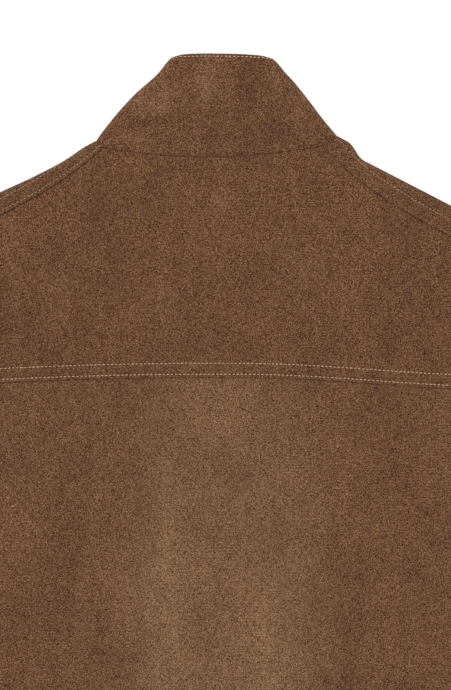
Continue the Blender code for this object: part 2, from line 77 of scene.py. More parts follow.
twinRows = {"near": 0.0024, "far": 0.0098, "sink": 0.00022, "puff": 0.00042, "allowance": 0.00035}


# Shapes of one number.

def smooth(low, high, x):
    t = min(1.0, max(0.0, (x - low) / (high - low)))
    return t * t * (3 - 2 * t)


def hump(x, half):
    return 0.5 + 0.5 * math.cos(math.pi * x / half) if abs(x) < half else 0.0


def spread(low, high, count):
    return [low + (high - low) * k / (count - 1) for k in range(count)]


def roundedEdge(distance, radius):
    if distance >= radius:
        return 0.0
    return radius - math.sqrt(max(0.0, radius ** 2 - (radius - distance) ** 2))


def twinRelief(distance):
    # Cloth beside a twin-stitched edge: pulled down along both rows, puffed between, thick over the turning.
    near, far = twinRows["near"], twinRows["far"]
    height = twinRows["puff"] * hump(distance - (near + far) / 2, (far - near) / 2)
    height -= twinRows["sink"] * (hump(distance - near, 0.0016) + hump(distance - far, 0.0018))
    return height + twinRows["allowance"] * (1 - smooth(far + 0.001, far + 0.006, distance))


def bezier(ends, pulls, t):
    (a, d), (b, c) = ends, pulls
    s = 1 - t
    return a * s ** 3 + b * 3 * s * s * t + c * 3 * s * t * t + d * t ** 3


def turned(v):
    return Vector((-v.y, v.x))


def mirrored(point, side):
    return Vector((point.x * side, point.y))


# Plan of the body.

armPoints = [bezier((body["shoulder"], body["underarm"]), body["armholePull"], i / 600) for i in range(601)]
armRun = [0.0]
for a, b in zip(armPoints, armPoints[1:]):
    armRun.append(armRun[-1] + (b - a).length)
armLength = armRun[-1]


def armhole(distance, inset=0.0):
    distance = min(armLength, max(0.0, distance))
    i = min(len(armRun) - 2, bisect.bisect_right(armRun, distance) - 1)
    t = (distance - armRun[i]) / (armRun[i + 1] - armRun[i])
    along = (armPoints[i + 1] - armPoints[i]).normalized()
    return armPoints[i].lerp(armPoints[i + 1], t) - turned(along) * inset


def shoulderRun(side):
    start = shoulders[side]["neck"]
    run = mirrored(body["shoulder"], side) - start
    return start, run.normalized(), run.length


def swell(side, s):
    low, high = shoulders[side]["swellEnds"]
    return shoulders[side]["swell"] * (1 - smooth(low, high, s))


def shoulderOut(side, s):
    along, length = shoulderRun(side)[1:]
    top = collar["corners"][side] - shoulders[side]["neck"]
    neck = (turned(along) * side - turned(top.normalized()) * side).normalized()
    arm = -mirrored(armhole(0.004) - armhole(0.0), side).normalized()
    return neck.lerp(arm, s / length).normalized()


def shoulderRoll(side, s):
    return (body["backTop"] + 2 * body["step"]) / 2 + shoulderSeam["swellRoll"] * swell(side, s)


def seamDistance(side, s):
    ease = 1 - math.exp(-s / shoulders[side]["seamEase"])
    length = shoulderRun(side)[2]
    free = shoulderSeam["start"] + (shoulders[side]["seamIn"] - shoulderSeam["start"]) * ease + swell(side, s)
    return free + (shoulderSeam["armhole"] - free) * smooth(shoulderSeam["easeFrom"] * length, length, s)


def shoulderPoint(side, s, distance):
    start, along, length = shoulderRun(side)
    out = shoulderOut(side, s)
    lift = swell(side, s) + shoulders[side]["lift"] * hump(s - 0.105, 0.070)
    point = start + along * s + turned(along) * side * lift - out * distance
    straight = mirrored(body["shoulder"], side) - shoulderOut(side, length) * distance
    curved = mirrored(armhole(distance, body["gap"] / 2), side)
    return point + (curved - straight) * (s / length) ** 4


def sideX(y):
    start = body["underarm"].y - body["underarmCurve"]
    plain = body["chestHalf"] + (body["hemHalf"] - body["chestHalf"]) * (start - y) / (start + body["length"])
    curved = max(0.0, (y - start) / body["underarmCurve"])
    return plain + (body["underarm"].x - body["chestHalf"]) * curved * curved


def panelEnd(distance):
    # Where a body panel ends, that far from the shoulder point down the armhole and then the side,
    # and how far its side seam has rolled down there.
    if distance > armLength:
        y = body["underarm"].y - (distance - armLength)
        return Vector((sideX(y), y)), min(1.0, 0.4 + 0.6 * (distance - armLength) / 0.050)
    return armhole(distance, body["gap"] / 2), 0.4 * smooth(armLength - 0.005, armLength, distance)


sideLength = body["length"] - 0.002 + body["underarm"].y
edgeAngles = [math.radians(a) for a in (0, 20, 40, 58, 74, 90)]


def turnSteps(radius):
    # Distances from a turned edge, close enough together to round it.
    return [radius * (1 - math.sin(a)) for a in edgeAngles]


edgeTurn = turnSteps(body["edgeRound"])


def endProfile(rolled):
    # (distance in from the edge, height lost) over the last few points of a row.
    radius = body["edgeRound"] + (body["sideRound"] - body["edgeRound"]) * rolled
    return [(radius * (1 - math.sin(a)), radius * (1 - math.cos(a)) * rolled) for a in edgeAngles]


# Heights. Every layer of the back follows the same rise, so that the layers stay clear of each other.

backFolds = (
    {"at": (-0.030, -0.350), "size": (0.034, 0.160), "lean": 3, "bow": 0.006, "rise": 0.0014},
    {"at": (0.050, -0.420), "size": (0.036, 0.150), "lean": -7, "bow": -0.005, "rise": 0.0017},
    {"at": (-0.128, -0.400), "size": (0.040, 0.170), "lean": -5, "bow": 0.007, "rise": 0.0012},
    {"at": (0.150, -0.390), "size": (0.042, 0.170), "lean": 9, "bow": -0.008, "rise": 0.0014},
    {"at": (0.205, -0.520), "size": (0.036, 0.080), "lean": -12, "bow": 0.004, "rise": 0.0010},
    {"at": (-0.205, -0.500), "size": (0.036, 0.090), "lean": 14, "bow": 0.004, "rise": 0.0010},
    {"at": (0.096, -0.215), "size": (0.018, 0.060), "lean": 20, "bow": 0.003, "rise": 0.0007},
    {"at": (-0.096, -0.250), "size": (0.020, 0.070), "lean": -12, "bow": -0.004, "rise": 0.0006},
    {"at": (0.215, -0.330), "size": (0.024, 0.075), "lean": 48, "bow": 0.010, "rise": 0.0011},
    {"at": (-0.222, -0.322), "size": (0.022, 0.080), "lean": -42, "bow": -0.012, "rise": 0.0011},
    {"at": (-0.180, -0.225), "size": (0.020, 0.060), "lean": -30, "bow": 0.006, "rise": 0.0007},
    {"at": (0.190, -0.245), "size": (0.018, 0.050), "lean": 34, "bow": -0.005, "rise": 0.0007},
    {"at": (-0.005, -0.545), "size": (0.016, 0.075), "lean": -4, "bow": 0.003, "rise": 0.0008},
    {"at": (0.106, -0.560), "size": (0.016, 0.060), "lean": 8, "bow": -0.003, "rise": 0.0007},
    {"at": (-0.090, -0.560), "size": (0.015, 0.055), "lean": 6, "bow": 0.003, "rise": 0.0007},
    {"at": (-0.050, -0.105), "size": (0.022, 0.040), "lean": 64, "bow": 0.005, "rise": 0.0005},
    {"at": (0.070, -0.070), "size": (0.020, 0.042), "lean": -58, "bow": 0.006, "rise": 0.0005},
    {"at": (0.118, -0.120), "size": (0.018, 0.040), "lean": -34, "bow": 0.004, "rise": 0.0004},
)


def foldRise(folds, x, y):
    total = 0.0
    for fold in folds:
        half, reach = fold["size"]
        dx, dy = x - fold["at"][0], y - fold["at"][1]
        if abs(dx) + abs(dy) > half + reach + abs(fold["bow"]) + 0.02:
            continue
        lean = math.radians(fold["lean"])
        across = dx * math.cos(lean) + dy * math.sin(lean)
        along = dy * math.cos(lean) - dx * math.sin(lean)
        if abs(along) < reach:
            across -= fold["bow"] * (along / reach) ** 2
            uneven = 1 + 0.35 * noise.noise(Vector((x * 30, y * 30, fold["lean"])))
            total += fold["rise"] * uneven * hump(across, half) * hump(along, reach)
    return total


def ridgeRise(x):
    # The fronts rise over the buttons.
    return front["ridgeRise"] * (1 - smooth(*front["ridgeEnds"], abs(x)))


def unevenness(x, y, seed):
    broad = noise.noise(Vector((x * 17, y * 11, seed)))
    fine = noise.noise(Vector((x * 46, y * 30, seed + 7)))
    return body["uneven"] * (broad + 0.4 * fine)


def restHeight(x, y):
    height = body["backTop"] + body["placketRise"] * math.exp(-(x / body["placketSpread"]) ** 2)
    return height + foldRise(backFolds, x, y) + unevenness(x, y, 3)


def patchTone(patches, x, y):
    # Lighter and darker patches, each a soft leaning oval: the nap's tone on the body, painted light and
    # shade over the collar's folds.
    total = 0.0
    for patch in patches:
        half, reach = patch["size"]
        lean = math.radians(patch.get("lean", 0))
        dx, dy = x - patch["at"][0], y - patch["at"][1]
        across = (dx * math.cos(lean) + dy * math.sin(lean)) / half
        along = (dy * math.cos(lean) - dx * math.sin(lean)) / reach
        wander = 0.16 * noise.noise(Vector((x * 40, y * 26, patch["tone"] * 50)))
        radius = math.hypot(across, along) + wander
        if radius < 1:
            total += patch["tone"] * (1 - smooth(patch.get("core", 0.15), 1.0, radius))
    return total


# Making sheets.

root = bpy.context.scene.collection
sheets = {}         # finished points and outward normals of each piece, for the stitching
foldShade = {"tone": -0.85, "upright": (0.10, 0.78)}        # painted shade where the cloth turns over: darker the more it faces sideways


def gridNormals(rows, flip, ring):
    normals = []
    last, width = len(rows) - 1, len(rows[0])
    for i, row in enumerate(rows):
        line = []
        above, below = rows[min(last, i + 1)], rows[max(0, i - 1)]
        for j in range(width):
            if ring:
                nextPoint, previous = row[(j + 1) % width], row[j - 1]
            else:
                nextPoint, previous = row[min(width - 1, j + 1)], row[max(0, j - 1)]
            normal = (nextPoint - previous).cross(above[j] - below[j]).normalized()
            line.append(-normal if flip else normal)
        normals.append(line)
    return normals


def runs(points):
    run = [0.0]
    for a, b in zip(points, points[1:]):
        run.append(run[-1] + (b - a).length)
    return run


def makeSheet(name, rows, relief, tone, rounds, wall, flip=False, ring=False, cloth=None):
    # rounds: the radius of the turned edge at the first row, last row, start and end of the rows.
    normals = gridNormals(rows, flip, ring)
    width = len(rows[0])
    rowRuns = [runs(row) for row in rows]
    columnRuns = [runs([row[j] for row in rows]) for j in range(width)]
    shaped = []
    for i, row in enumerate(rows):
        line = []
        for j, point in enumerate(row):
            rise = relief(i, j, point)
            fromFirst, fromLast = columnRuns[j][i], columnRuns[j][-1] - columnRuns[j][i]
            rise -= roundedEdge(fromFirst, rounds["first"]) + roundedEdge(fromLast, rounds["last"])
            if not ring:
                start, end = rounds["start"], rounds["end"]
                start = start(i) if callable(start) else start
                end = end(i) if callable(end) else end
                rise -= roundedEdge(rowRuns[i][j], start) + roundedEdge(rowRuns[i][-1] - rowRuns[i][j], end)
            point = point + normals[i][j] * rise
            line.append(Vector((point.x, point.y, max(0.0, point.z))))
        shaped.append(line)
    sheets[name] = {"rows": shaped, "normals": gridNormals(shaped, flip, ring), "ring": ring}
    mesh = bmesh.new()
    verts = [[mesh.verts.new(point + neckCentre) for point in row] for row in shaped]
    for lower, upper in zip(verts, verts[1:]):
        for j in range(width if ring else width - 1):
            k = (j + 1) % width
            corners = (lower[j], lower[k], upper[k], upper[j])
            mesh.faces.new(corners[::-1] if flip else corners)
    data = bpy.data.meshes.new(name)
    mesh.to_mesh(data)
    mesh.free()
    data.shade_smooth()
    # The cloth's tone, with painted light and shade at turned edges, seams and collar folds.
    napLightAndShade = data.attributes.new("napLightAndShade", "FLOAT", "POINT")
    way = data.attributes.new("cloth", "FLOAT_VECTOR", "POINT")
    index = 0
    for i, row in enumerate(shaped):
        for j, point in enumerate(row):
            upright = abs(sheets[name]["normals"][i][j].z)
            # painted shade on cloth that turns away from the top
            turnShade = foldShade["tone"] * (1 - smooth(*foldShade["upright"], upright))
            napLightAndShade.data[index].value = tone(i, j, point) + turnShade
            way.data[index].vector = cloth(i, j) if cloth else point
            index += 1
    data.materials.append(suede)
    data.materials.append(suedeInside)
    piece = bpy.data.objects.new(name + "_cloth", data)
    root.objects.link(piece)
    solid = piece.modifiers.new("wall", "SOLIDIFY")
    solid.thickness = wall
    solid.offset = -1.0
    solid.use_quality_normals = True
    solid.material_offset = 1
    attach(piece, "root")
    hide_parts(name)
    print("made", name, len(data.polygons), "faces")
    return piece


# Shader node groups.

def newShaderGroup(name, inputs, outputs):
    group = bpy.data.node_groups.new(name, "ShaderNodeTree")
    for label, kind, value in inputs:
        socket = group.interface.new_socket(name=label, in_out="INPUT", socket_type=kind)
        if value is not None:
            socket.default_value = value
    for label, kind in outputs:
        group.interface.new_socket(name=label, in_out="OUTPUT", socket_type=kind)
    return group, group.nodes.new("NodeGroupInput"), group.nodes.new("NodeGroupOutput")


def mathNode(tree, operation, first, second=None, third=None):
    node = tree.nodes.new("ShaderNodeMath")
    node.operation = operation
    for socket, value in zip(node.inputs, (first, second, third)):
        if value is None:
            continue
        if isinstance(value, (int, float)):
            socket.default_value = value
        else:
            tree.links.new(value, socket)
    return node.outputs[0]


def noiseNode(tree, vector, stretch, detail, roughness, offset=(0, 0, 0)):
    # Noise whose features repeat stretch times a metre along each axis.
    place = tree.nodes.new("ShaderNodeMapping")
    place.inputs["Scale"].default_value = stretch
    place.inputs["Location"].default_value = offset
    tree.links.new(vector, place.inputs["Vector"])
    node = tree.nodes.new("ShaderNodeTexNoise")
    node.inputs["Scale"].default_value = 1.0
    node.inputs["Detail"].default_value = detail
    node.inputs["Roughness"].default_value = roughness
    tree.links.new(place.outputs["Vector"], node.inputs["Vector"])
    return mathNode(tree, "SUBTRACT", node.outputs["Fac"], 0.5)


def scaledColour(tree, colour, factor):
    node = tree.nodes.new("ShaderNodeVectorMath")
    node.operation = "SCALE"
    tree.links.new(colour, node.inputs[0])
    tree.links.new(factor, node.inputs["Scale"])
    return node.outputs[0]


# Features to a metre along each axis, detail, roughness, offset.
napPatterns = {
    "broad": ((16, 12, 16), 2, 0.5),
    "mottle": ((52, 40, 52), 4, 0.6, (3, 1, 0)),
    "streak": ((120, 16, 60), 2, 0.5, (0, 5, 2)),
    "speckle": ((2500, 2350, 0), 0, 0.5, (1, 2, 3.5)),
}
ribWave = {"Scale": 150, "Distortion": 4, "Detail": 2, "Detail Scale": 0.6}


def buildNapGroup():
    # Brushed suede: cloudy mottling, streaks along the cloth, fine ribs and a speckled nap, with the tone
    # given, painted light and shade among it.
    group, given, result = newShaderGroup("suedeNap", (
        ("Cloth", "NodeSocketVector", None),
        ("Colour", "NodeSocketColor", (0.1, 0.05, 0.03, 1)),
        ("DustAndLight", "NodeSocketColor", (0.12, 0.10, 0.05, 1)),
        ("Tone", "NodeSocketFloat", 0.0),
        ("Mottle", "NodeSocketFloat", 0.3),
        ("Streak", "NodeSocketFloat", 0.2),
        ("Speckle", "NodeSocketFloat", 0.4),
        ("Rib", "NodeSocketFloat", 0.1),
    ), (("Colour", "NodeSocketColor"), ("Roughness", "NodeSocketFloat"), ("Height", "NodeSocketFloat")))
    cloth = given.outputs["Cloth"]
    broad, mottle, streak, speckle = [noiseNode(group, cloth, *pattern) for pattern in napPatterns.values()]
    wave = group.nodes.new("ShaderNodeTexWave")
    wave.bands_direction = "Y"
    for label, value in ribWave.items():
        wave.inputs[label].default_value = value
    group.links.new(cloth, wave.inputs["Vector"])
    ribs = mathNode(group, "SUBTRACT", wave.outputs["Fac"], 0.5)
    where = mathNode(group, "MULTIPLY", mathNode(group, "ADD", broad, 0.25), 2.0)
    ribs = mathNode(group, "MULTIPLY", ribs, where)
    clouds = mathNode(group, "ADD", mathNode(group, "MULTIPLY", broad, 0.7), mottle)
    total = mathNode(group, "MULTIPLY_ADD", clouds, given.outputs["Mottle"], 1.0)
    total = mathNode(group, "MULTIPLY_ADD", streak, given.outputs["Streak"], total)
    total = mathNode(group, "MULTIPLY_ADD", ribs, given.outputs["Rib"], total)
    total = mathNode(group, "ADD", total, mathNode(group, "MINIMUM", given.outputs["Tone"], 0.0))
    grain = mathNode(group, "MULTIPLY", speckle, given.outputs["Speckle"])
    darkGrain = mathNode(group, "MAXIMUM", mathNode(group, "MINIMUM", grain, 0.0), -0.8)
    dark = mathNode(group, "ADD", darkGrain, 1.0)
    shade = mathNode(group, "MULTIPLY", dark, total)
    # Positive tone, painted light among it, and light specks both pale the colour with the dust colour.
    pale = mathNode(group, "ADD", mathNode(group, "MAXIMUM", given.outputs["Tone"], 0.0),
                    mathNode(group, "MAXIMUM", grain, 0.0))
    dustAndLightAdded = scaledColour(group, given.outputs["DustAndLight"], pale)
    mixed = group.nodes.new("ShaderNodeVectorMath")
    mixed.operation = "ADD"
    group.links.new(given.outputs["Colour"], mixed.inputs[0])
    group.links.new(dustAndLightAdded, mixed.inputs[1])
    group.links.new(scaledColour(group, mixed.outputs[0], shade), result.inputs["Colour"])
    rough = mathNode(group, "MULTIPLY_ADD", mottle, -0.15, 0.93)
    group.links.new(rough, result.inputs["Roughness"])
    height = mathNode(group, "MULTIPLY_ADD", ribs, 0.25, speckle)
    group.links.new(height, result.inputs["Height"])
    return group


def newMaterial(name):
    made = bpy.data.materials.new(name)
    made.use_nodes = True
    tree = made.node_tree
    shader = tree.nodes["Principled BSDF"]
    shader.inputs["Metallic"].default_value = 0.0
    return made, tree, shader


def bumped(tree, shader, height, distance, strength):
    bump = tree.nodes.new("ShaderNodeBump")
    bump.inputs["Strength"].default_value = strength
    bump.inputs["Distance"].default_value = distance
    tree.links.new(height, bump.inputs["Height"])
    tree.links.new(bump.outputs["Normal"], shader.inputs["Normal"])


def suedeMaterial(name, look):
    made, tree, shader = newMaterial(name)
    cloth = tree.nodes.new("ShaderNodeAttribute")
    cloth.attribute_name = "cloth"
    tone = tree.nodes.new("ShaderNodeAttribute")
    tone.attribute_name = "napLightAndShade"
    napLightAndShade = tree.nodes.new("ShaderNodeGroup")
    napLightAndShade.node_tree = napGroup
    napLightAndShade.inputs["Colour"].default_value = (*look["colour"], 1)
    napLightAndShade.inputs["DustAndLight"].default_value = (*look["dustAndLight"], 1)
    for label in ("Mottle", "Streak", "Speckle", "Rib"):
        napLightAndShade.inputs[label].default_value = look[label.lower()]
    tree.links.new(cloth.outputs["Vector"], napLightAndShade.inputs["Cloth"])
    tree.links.new(tone.outputs["Fac"], napLightAndShade.inputs["Tone"])
    tree.links.new(napLightAndShade.outputs["Colour"], shader.inputs["Base Color"])
    tree.links.new(napLightAndShade.outputs["Roughness"], shader.inputs["Roughness"])
    bumped(tree, shader, napLightAndShade.outputs["Height"], look["bump"], 0.6)
    shader.inputs["Specular IOR Level"].default_value = 0.12
    shader.inputs["Sheen Weight"].default_value = look["sheen"]
    shader.inputs["Sheen Roughness"].default_value = 0.55
    shader.inputs["Sheen Tint"].default_value = (0.85, 0.68, 0.52, 1)
    return made


suedeLook = {"colour": (0.154, 0.0602, 0.0270), "dustAndLight": (0.132, 0.097, 0.056), "mottle": 0.54, "streak": 0.30,
             "speckle": 5.0, "rib": 0.26, "bump": 0.0004, "sheen": 0.12}
insideLook = {"colour": (0.110, 0.062, 0.036), "dustAndLight": (0.10, 0.08, 0.05), "mottle": 0.4, "streak": 0.1,
              "speckle": 2.0, "rib": 0.0, "bump": 0.0003, "sheen": 0.10}
threadLook = {"ecru": (0.58, 0.43, 0.29), "tan": (0.36, 0.25, 0.16), "brown": (0.19, 0.115, 0.066),
              "sheen": 0.15}
hornLook = {"dark": (0.030, 0.014, 0.008), "light": (0.095, 0.048, 0.024)}
napGroup = buildNapGroup()
suede = suedeMaterial("suede_napped", suedeLook)
suedeInside = suedeMaterial("suede_inside", insideLook)


def threadMaterial(kind):
    made, tree, shader = newMaterial(kind + "_thread")
    place = tree.nodes.new("ShaderNodeTexCoord")
    shade = noiseNode(tree, place.outputs["Object"], (330, 330, 330), 1, 0.5)
    twist = noiseNode(tree, place.outputs["Object"], (2600, 2600, 2600), 1, 0.5)
    total = mathNode(tree, "MULTIPLY_ADD", shade, 0.9, mathNode(tree, "MULTIPLY_ADD", twist, 0.5, 1.0))
    scale = tree.nodes.new("ShaderNodeVectorMath")
    scale.operation = "SCALE"
    scale.inputs[0].default_value = threadLook[kind]
    tree.links.new(total, scale.inputs["Scale"])
    tree.links.new(scale.outputs[0], shader.inputs["Base Color"])
    tree.links.new(mathNode(tree, "MULTIPLY_ADD", twist, 0.2, 0.75), shader.inputs["Roughness"])
    bumped(tree, shader, twist, 0.0001, 0.5)
    shader.inputs["Specular IOR Level"].default_value = 0.3
    shader.inputs["Sheen Weight"].default_value = threadLook["sheen"]
    return made


def hornMaterial():
    made, tree, shader = newMaterial("button_horn_polished")
    place = tree.nodes.new("ShaderNodeTexCoord")
    cloud = noiseNode(tree, place.outputs["Object"], (160, 60, 160), 4, 0.6)
    fleck = noiseNode(tree, place.outputs["Object"], (900, 300, 900), 2, 0.6)
    amount = mathNode(tree, "MULTIPLY_ADD", cloud, 2.2, mathNode(tree, "MULTIPLY_ADD", fleck, 0.6, 0.4))
    mix = tree.nodes.new("ShaderNodeMix")
    mix.data_type = "RGBA"
    mix.clamp_factor = True
    mix.inputs["A"].default_value = (*hornLook["dark"], 1)
    mix.inputs["B"].default_value = (*hornLook["light"], 1)
    tree.links.new(amount, mix.inputs["Factor"])
    tree.links.new(mix.outputs["Result"], shader.inputs["Base Color"])
    tree.links.new(mathNode(tree, "MULTIPLY_ADD", cloud, 0.25, 0.36), shader.inputs["Roughness"])
    bumped(tree, shader, fleck, 0.0001, 0.3)
    return made


thread = threadMaterial("ecru")
shoulderThread = threadMaterial("tan")      # the same thread, darker along the shoulders where it looks dimmer
darkThread = threadMaterial("brown")
horn = hornMaterial()
print("made materials")


# Collar. Its cut is used by the shoulders too.

collar = {
    "wall": 0.0022,
    "height": 0.0705,
    "frontTop": -0.012,
    "corners": {-1: Vector((-0.0296, 0.0688)), +1: Vector((0.0390, 0.0678))},
    "cornerRound": 0.0004,
    "edgeRound": 0.0012,
    "allowance": (0.0026, 0.0008),      # rows tucked under the body at the neck seam
    "allowanceSink": 0.0016,
    "seamShade": 0.10,
    "bow": {-1: 0.0019, +1: 0.0},
    "bulge": {-1: (0.80, 0.28, -0.0013), +1: (0.58, 0.40, 0.0008)},     # level, reach, how far out
    "topSlope": 0.22,
    "frontColumns": 34,
    "foldColumns": 15,
    "backColumns": 60,
    "swell": 0.0022,
    "edgeTop": 0.0088,
    "ease": 0.030,
    "stitch": 0.0019,
    "neckRound": 0.0003,
    "folds": (
        {"at": (-0.047, 0.0230), "size": (0.0055, 0.034), "lean": 80, "bow": 0.0020, "rise": -0.0015},
        {"at": (-0.050, 0.0330), "size": (0.0090, 0.036), "lean": 78, "bow": 0.0030, "rise": 0.0013},
        {"at": (-0.006, 0.0500), "size": (0.012, 0.034), "lean": 8, "bow": 0.003, "rise": 0.0008},
        {"at": (0.024, 0.0480), "size": (0.012, 0.034), "lean": -12, "bow": 0.004, "rise": -0.0008},
        {"at": (0.048, 0.0150), "size": (0.009, 0.024), "lean": -68, "bow": 0.003, "rise": -0.0008},
        {"at": (0.046, 0.0440), "size": (0.009, 0.032), "lean": -38, "bow": 0.002, "rise": 0.0009},
        {"at": (0.002, 0.0120), "size": (0.008, 0.050), "lean": 90, "bow": 0.002, "rise": 0.0004},
    ),
    # Painted light and shade over the collar's drape: lighter on its ridges, bulges and left side, darker in
    # its creases and on its right.
    "patches": (
        {"at": (-0.044, 0.043), "size": (0.030, 0.024), "lean": -45, "core": 0.3, "tone": 0.16},
        {"at": (-0.044, 0.033), "size": (0.020, 0.009), "lean": 8, "tone": 0.10},
        {"at": (-0.006, 0.053), "size": (0.011, 0.026), "lean": 4, "tone": 0.27},
        {"at": (-0.004, 0.044), "size": (0.008, 0.010), "lean": -20, "tone": 0.14},
        {"at": (0.023, 0.050), "size": (0.013, 0.030), "lean": -10, "core": 0.3, "tone": -0.20},
        {"at": (0.046, 0.047), "size": (0.009, 0.030), "lean": 38, "tone": 0.12},
        {"at": (0.048, 0.0155), "size": (0.020, 0.0075), "lean": -20, "tone": -0.20},
        {"at": (-0.045, 0.0230), "size": (0.025, 0.0058), "lean": 9, "core": 0.3, "tone": -0.24},
        {"at": (-0.058, 0.0140), "size": (0.018, 0.0040), "lean": -8, "tone": 0.12},
        {"at": (0.000, 0.0070), "size": (0.070, 0.0060), "tone": 0.10},
        {"at": (0.036, 0.035), "size": (0.040, 0.050), "tone": -0.02},
    ),
}


def neckEnd(side):
    return shoulderPoint(side, 0.0, shoulderRoll(side, 0.0))


def frontNeck(side, share):
    end = neckEnd(side)
    angle = share * math.pi / 2
    return Vector((end.x * math.sin(angle), end.y - (end.y - front["neck"]) * math.cos(angle)))


def backNeck(u):
    left, right = neckEnd(-1), neckEnd(1)
    chord = left.lerp(right, (u + 1) / 2)
    return Vector((chord.x, chord.y - left.lerp(right, 0.5).y * (1 - u * u)))


# Lower back.

yokeEdgeCut = {"depth": 0.150, "arch": 0.0090, "drop": 0.0038, "dropEnds": (0.020, 0.170), "station": 0.092,
               "lap": 0.009}


def yokeEdge(x):
    end = mirrored(armhole(yokeEdgeCut["station"], body["gap"] / 2), math.copysign(1, x))

    def free(across):
        arch = yokeEdgeCut["arch"] * (across / body["shoulder"].x) ** 2
        return -yokeEdgeCut["depth"] - arch - yokeEdgeCut["drop"] * smooth(*yokeEdgeCut["dropEnds"], across)

    return free(x) + (end.y - free(end.x)) * (x / end.x) ** 6


lowerBack = {
    "columns": 148,
    "rows": 140,
    "length": 0.47,
    "lapShare": 0.019,      # the part under the yoke, as a share of the length
    "hemRow": 0.0035,       # nearest row to the hem's round
    "seamFade": 0.15,       # how soon its rows stop following the yoke's edge
    "hem": {"thick": 0.0003, "ends": (0.021, 0.026), "sink": 0.0002},
    "seamPuff": 0.0004,
    "tone": 0.08,
    "patches": (
        {"at": (0.006, -0.322), "size": (0.092, 0.285), "core": 0.45, "tone": 0.32},
        {"at": (0.000, -0.400), "size": (0.150, 0.220), "core": 0.30, "tone": 0.06},
        {"at": (-0.033, -0.300), "size": (0.018, 0.120), "lean": 2, "tone": 0.22},
        {"at": (0.040, -0.330), "size": (0.024, 0.090), "lean": -4, "tone": 0.17},
        {"at": (0.004, -0.330), "size": (0.014, 0.070), "lean": 4, "tone": -0.06},
        {"at": (0.012, -0.250), "size": (0.014, 0.060), "lean": 4, "tone": 0.05},
        {"at": (0.126, -0.213), "size": (0.020, 0.062), "lean": 24, "tone": -0.12},
        {"at": (-0.104, -0.271), "size": (0.018, 0.075), "lean": -5, "tone": -0.10},
        {"at": (-0.136, -0.320), "size": (0.014, 0.070), "lean": 4, "tone": -0.06},
        {"at": (0.094, -0.330), "size": (0.018, 0.070), "lean": 10, "tone": -0.05},
        {"at": (0.215, -0.430), "size": (0.040, 0.120), "lean": -10, "tone": 0.10},
        {"at": (-0.200, -0.400), "size": (0.036, 0.120), "lean": 8, "tone": 0.09},
        {"at": (-0.160, -0.540), "size": (0.030, 0.060), "lean": 12, "tone": -0.10},
        {"at": (0.170, -0.550), "size": (0.026, 0.060), "lean": -8, "tone": -0.09},
    ),
}


def buildLowerBack():
    station, lap = yokeEdgeCut["station"], yokeEdgeCut["lap"]
    length, lapShare = lowerBack["length"], lowerBack["lapShare"]
    total = armLength - station + sideLength
    shares = spread(-lapShare, 0, 4)[:-1] + spread(0, 1 - lowerBack["hemRow"] / length, lowerBack["rows"])
    shares += [1 - d / length for d in edgeTurn[::-1]]
    rows = []
    startEnd = panelEnd(station)[0]
    for w in shares:
        below = max(0.0, w)
        end, rolled = panelEnd(station + (total * w if w >= 0 else lap * w / lapShare))
        centre = yokeEdge(0) + (-body["length"] - yokeEdge(0)) * below
        fade = 1 - smooth(0, lowerBack["seamFade"], below)
        profile = endProfile(rolled)
        inner = end.x - profile[0][0]

        def line(x):
            cube = abs(x / end.x) ** 3
            plain = centre + (end.y - centre) * cube
            if w < 0:
                return yokeEdge(x) + lap * -w / lapShare
            first = yokeEdge(0) + (startEnd.y - yokeEdge(0)) * cube
            return plain + fade * (yokeEdge(x * startEnd.x / end.x) - first)

        row = []
        for u in spread(-1, 1, lowerBack["columns"]):
            x = u * inner
            row.append(Vector((x, line(x), restHeight(x, line(x)))))
        for distance, lost in profile[1:]:
            x = end.x - distance
            row.insert(0, Vector((-x, line(-x), restHeight(-x, line(-x)) - lost)))
            row.append(Vector((x, line(x), restHeight(x, line(x)) - lost)))
        rows.append(row)

    def sideRound(i):
        return body["edgeRound"] * (1 - panelEnd(station + total * max(0.0, shares[i]))[1])

    def relief(i, j, point):
        hem = lowerBack["hem"]
        fromHem = (1 - shares[i]) * length
        rise = hem["thick"] * (1 - smooth(*hem["ends"], fromHem))
        rise -= hem["sink"] * hump(fromHem - body["hemStitch"], 0.004)
        return rise + lowerBack["seamPuff"] * hump(shares[i] * length, 0.016)

    def tone(i, j, point):
        shade = lowerBack["tone"] + patchTone(lowerBack["patches"], point.x, point.y)
        # painted light just below the yoke's edge, thinning the shadow the edge casts
        return shade + 0.06 * hump(shares[i] * length, 0.006)

    stitchRow = min(range(len(shares)), key=lambda i: abs((1 - shares[i]) * length - body["hemStitch"]))
    rounds = {"first": 0, "last": body["edgeRound"], "start": sideRound, "end": sideRound}
    piece = makeSheet("back_lower", rows, relief, tone, rounds, body["wall"], flip=True)
    return piece, stitchRow


# Yoke.

yoke = {
    "columns": 152,
    "rows": 42,
    "neckShare": 0.375,
    "rowEnds": (0.019, 0.0038),         # clear of the lower edge and of the upper edge
    "lipSink": 0.0002,
    "lipLight": 0.16,
    "neckShade": 0.13,
    "patches": (
        {"at": (-0.034, -0.104), "size": (0.030, 0.022), "lean": 20, "tone": 0.08},
        {"at": (0.058, -0.070), "size": (0.026, 0.018), "lean": -30, "tone": 0.08},
        {"at": (0.110, -0.110), "size": (0.050, 0.035), "lean": 10, "tone": -0.05},
        {"at": (-0.100, -0.080), "size": (0.030, 0.020), "lean": 35, "tone": 0.05},
        {"at": (0.010, -0.140), "size": (0.120, 0.010), "tone": 0.05},
        {"at": (-0.130, -0.120), "size": (0.030, 0.020), "lean": -15, "tone": -0.06},
        {"at": (0.012, -0.040), "size": (0.040, 0.016), "lean": 8, "tone": -0.05},
        {"at": (0.150, -0.080), "size": (0.050, 0.050), "tone": -0.05},
        {"at": (-0.180, -0.110), "size": (0.030, 0.040), "tone": 0.03},
    ),
}
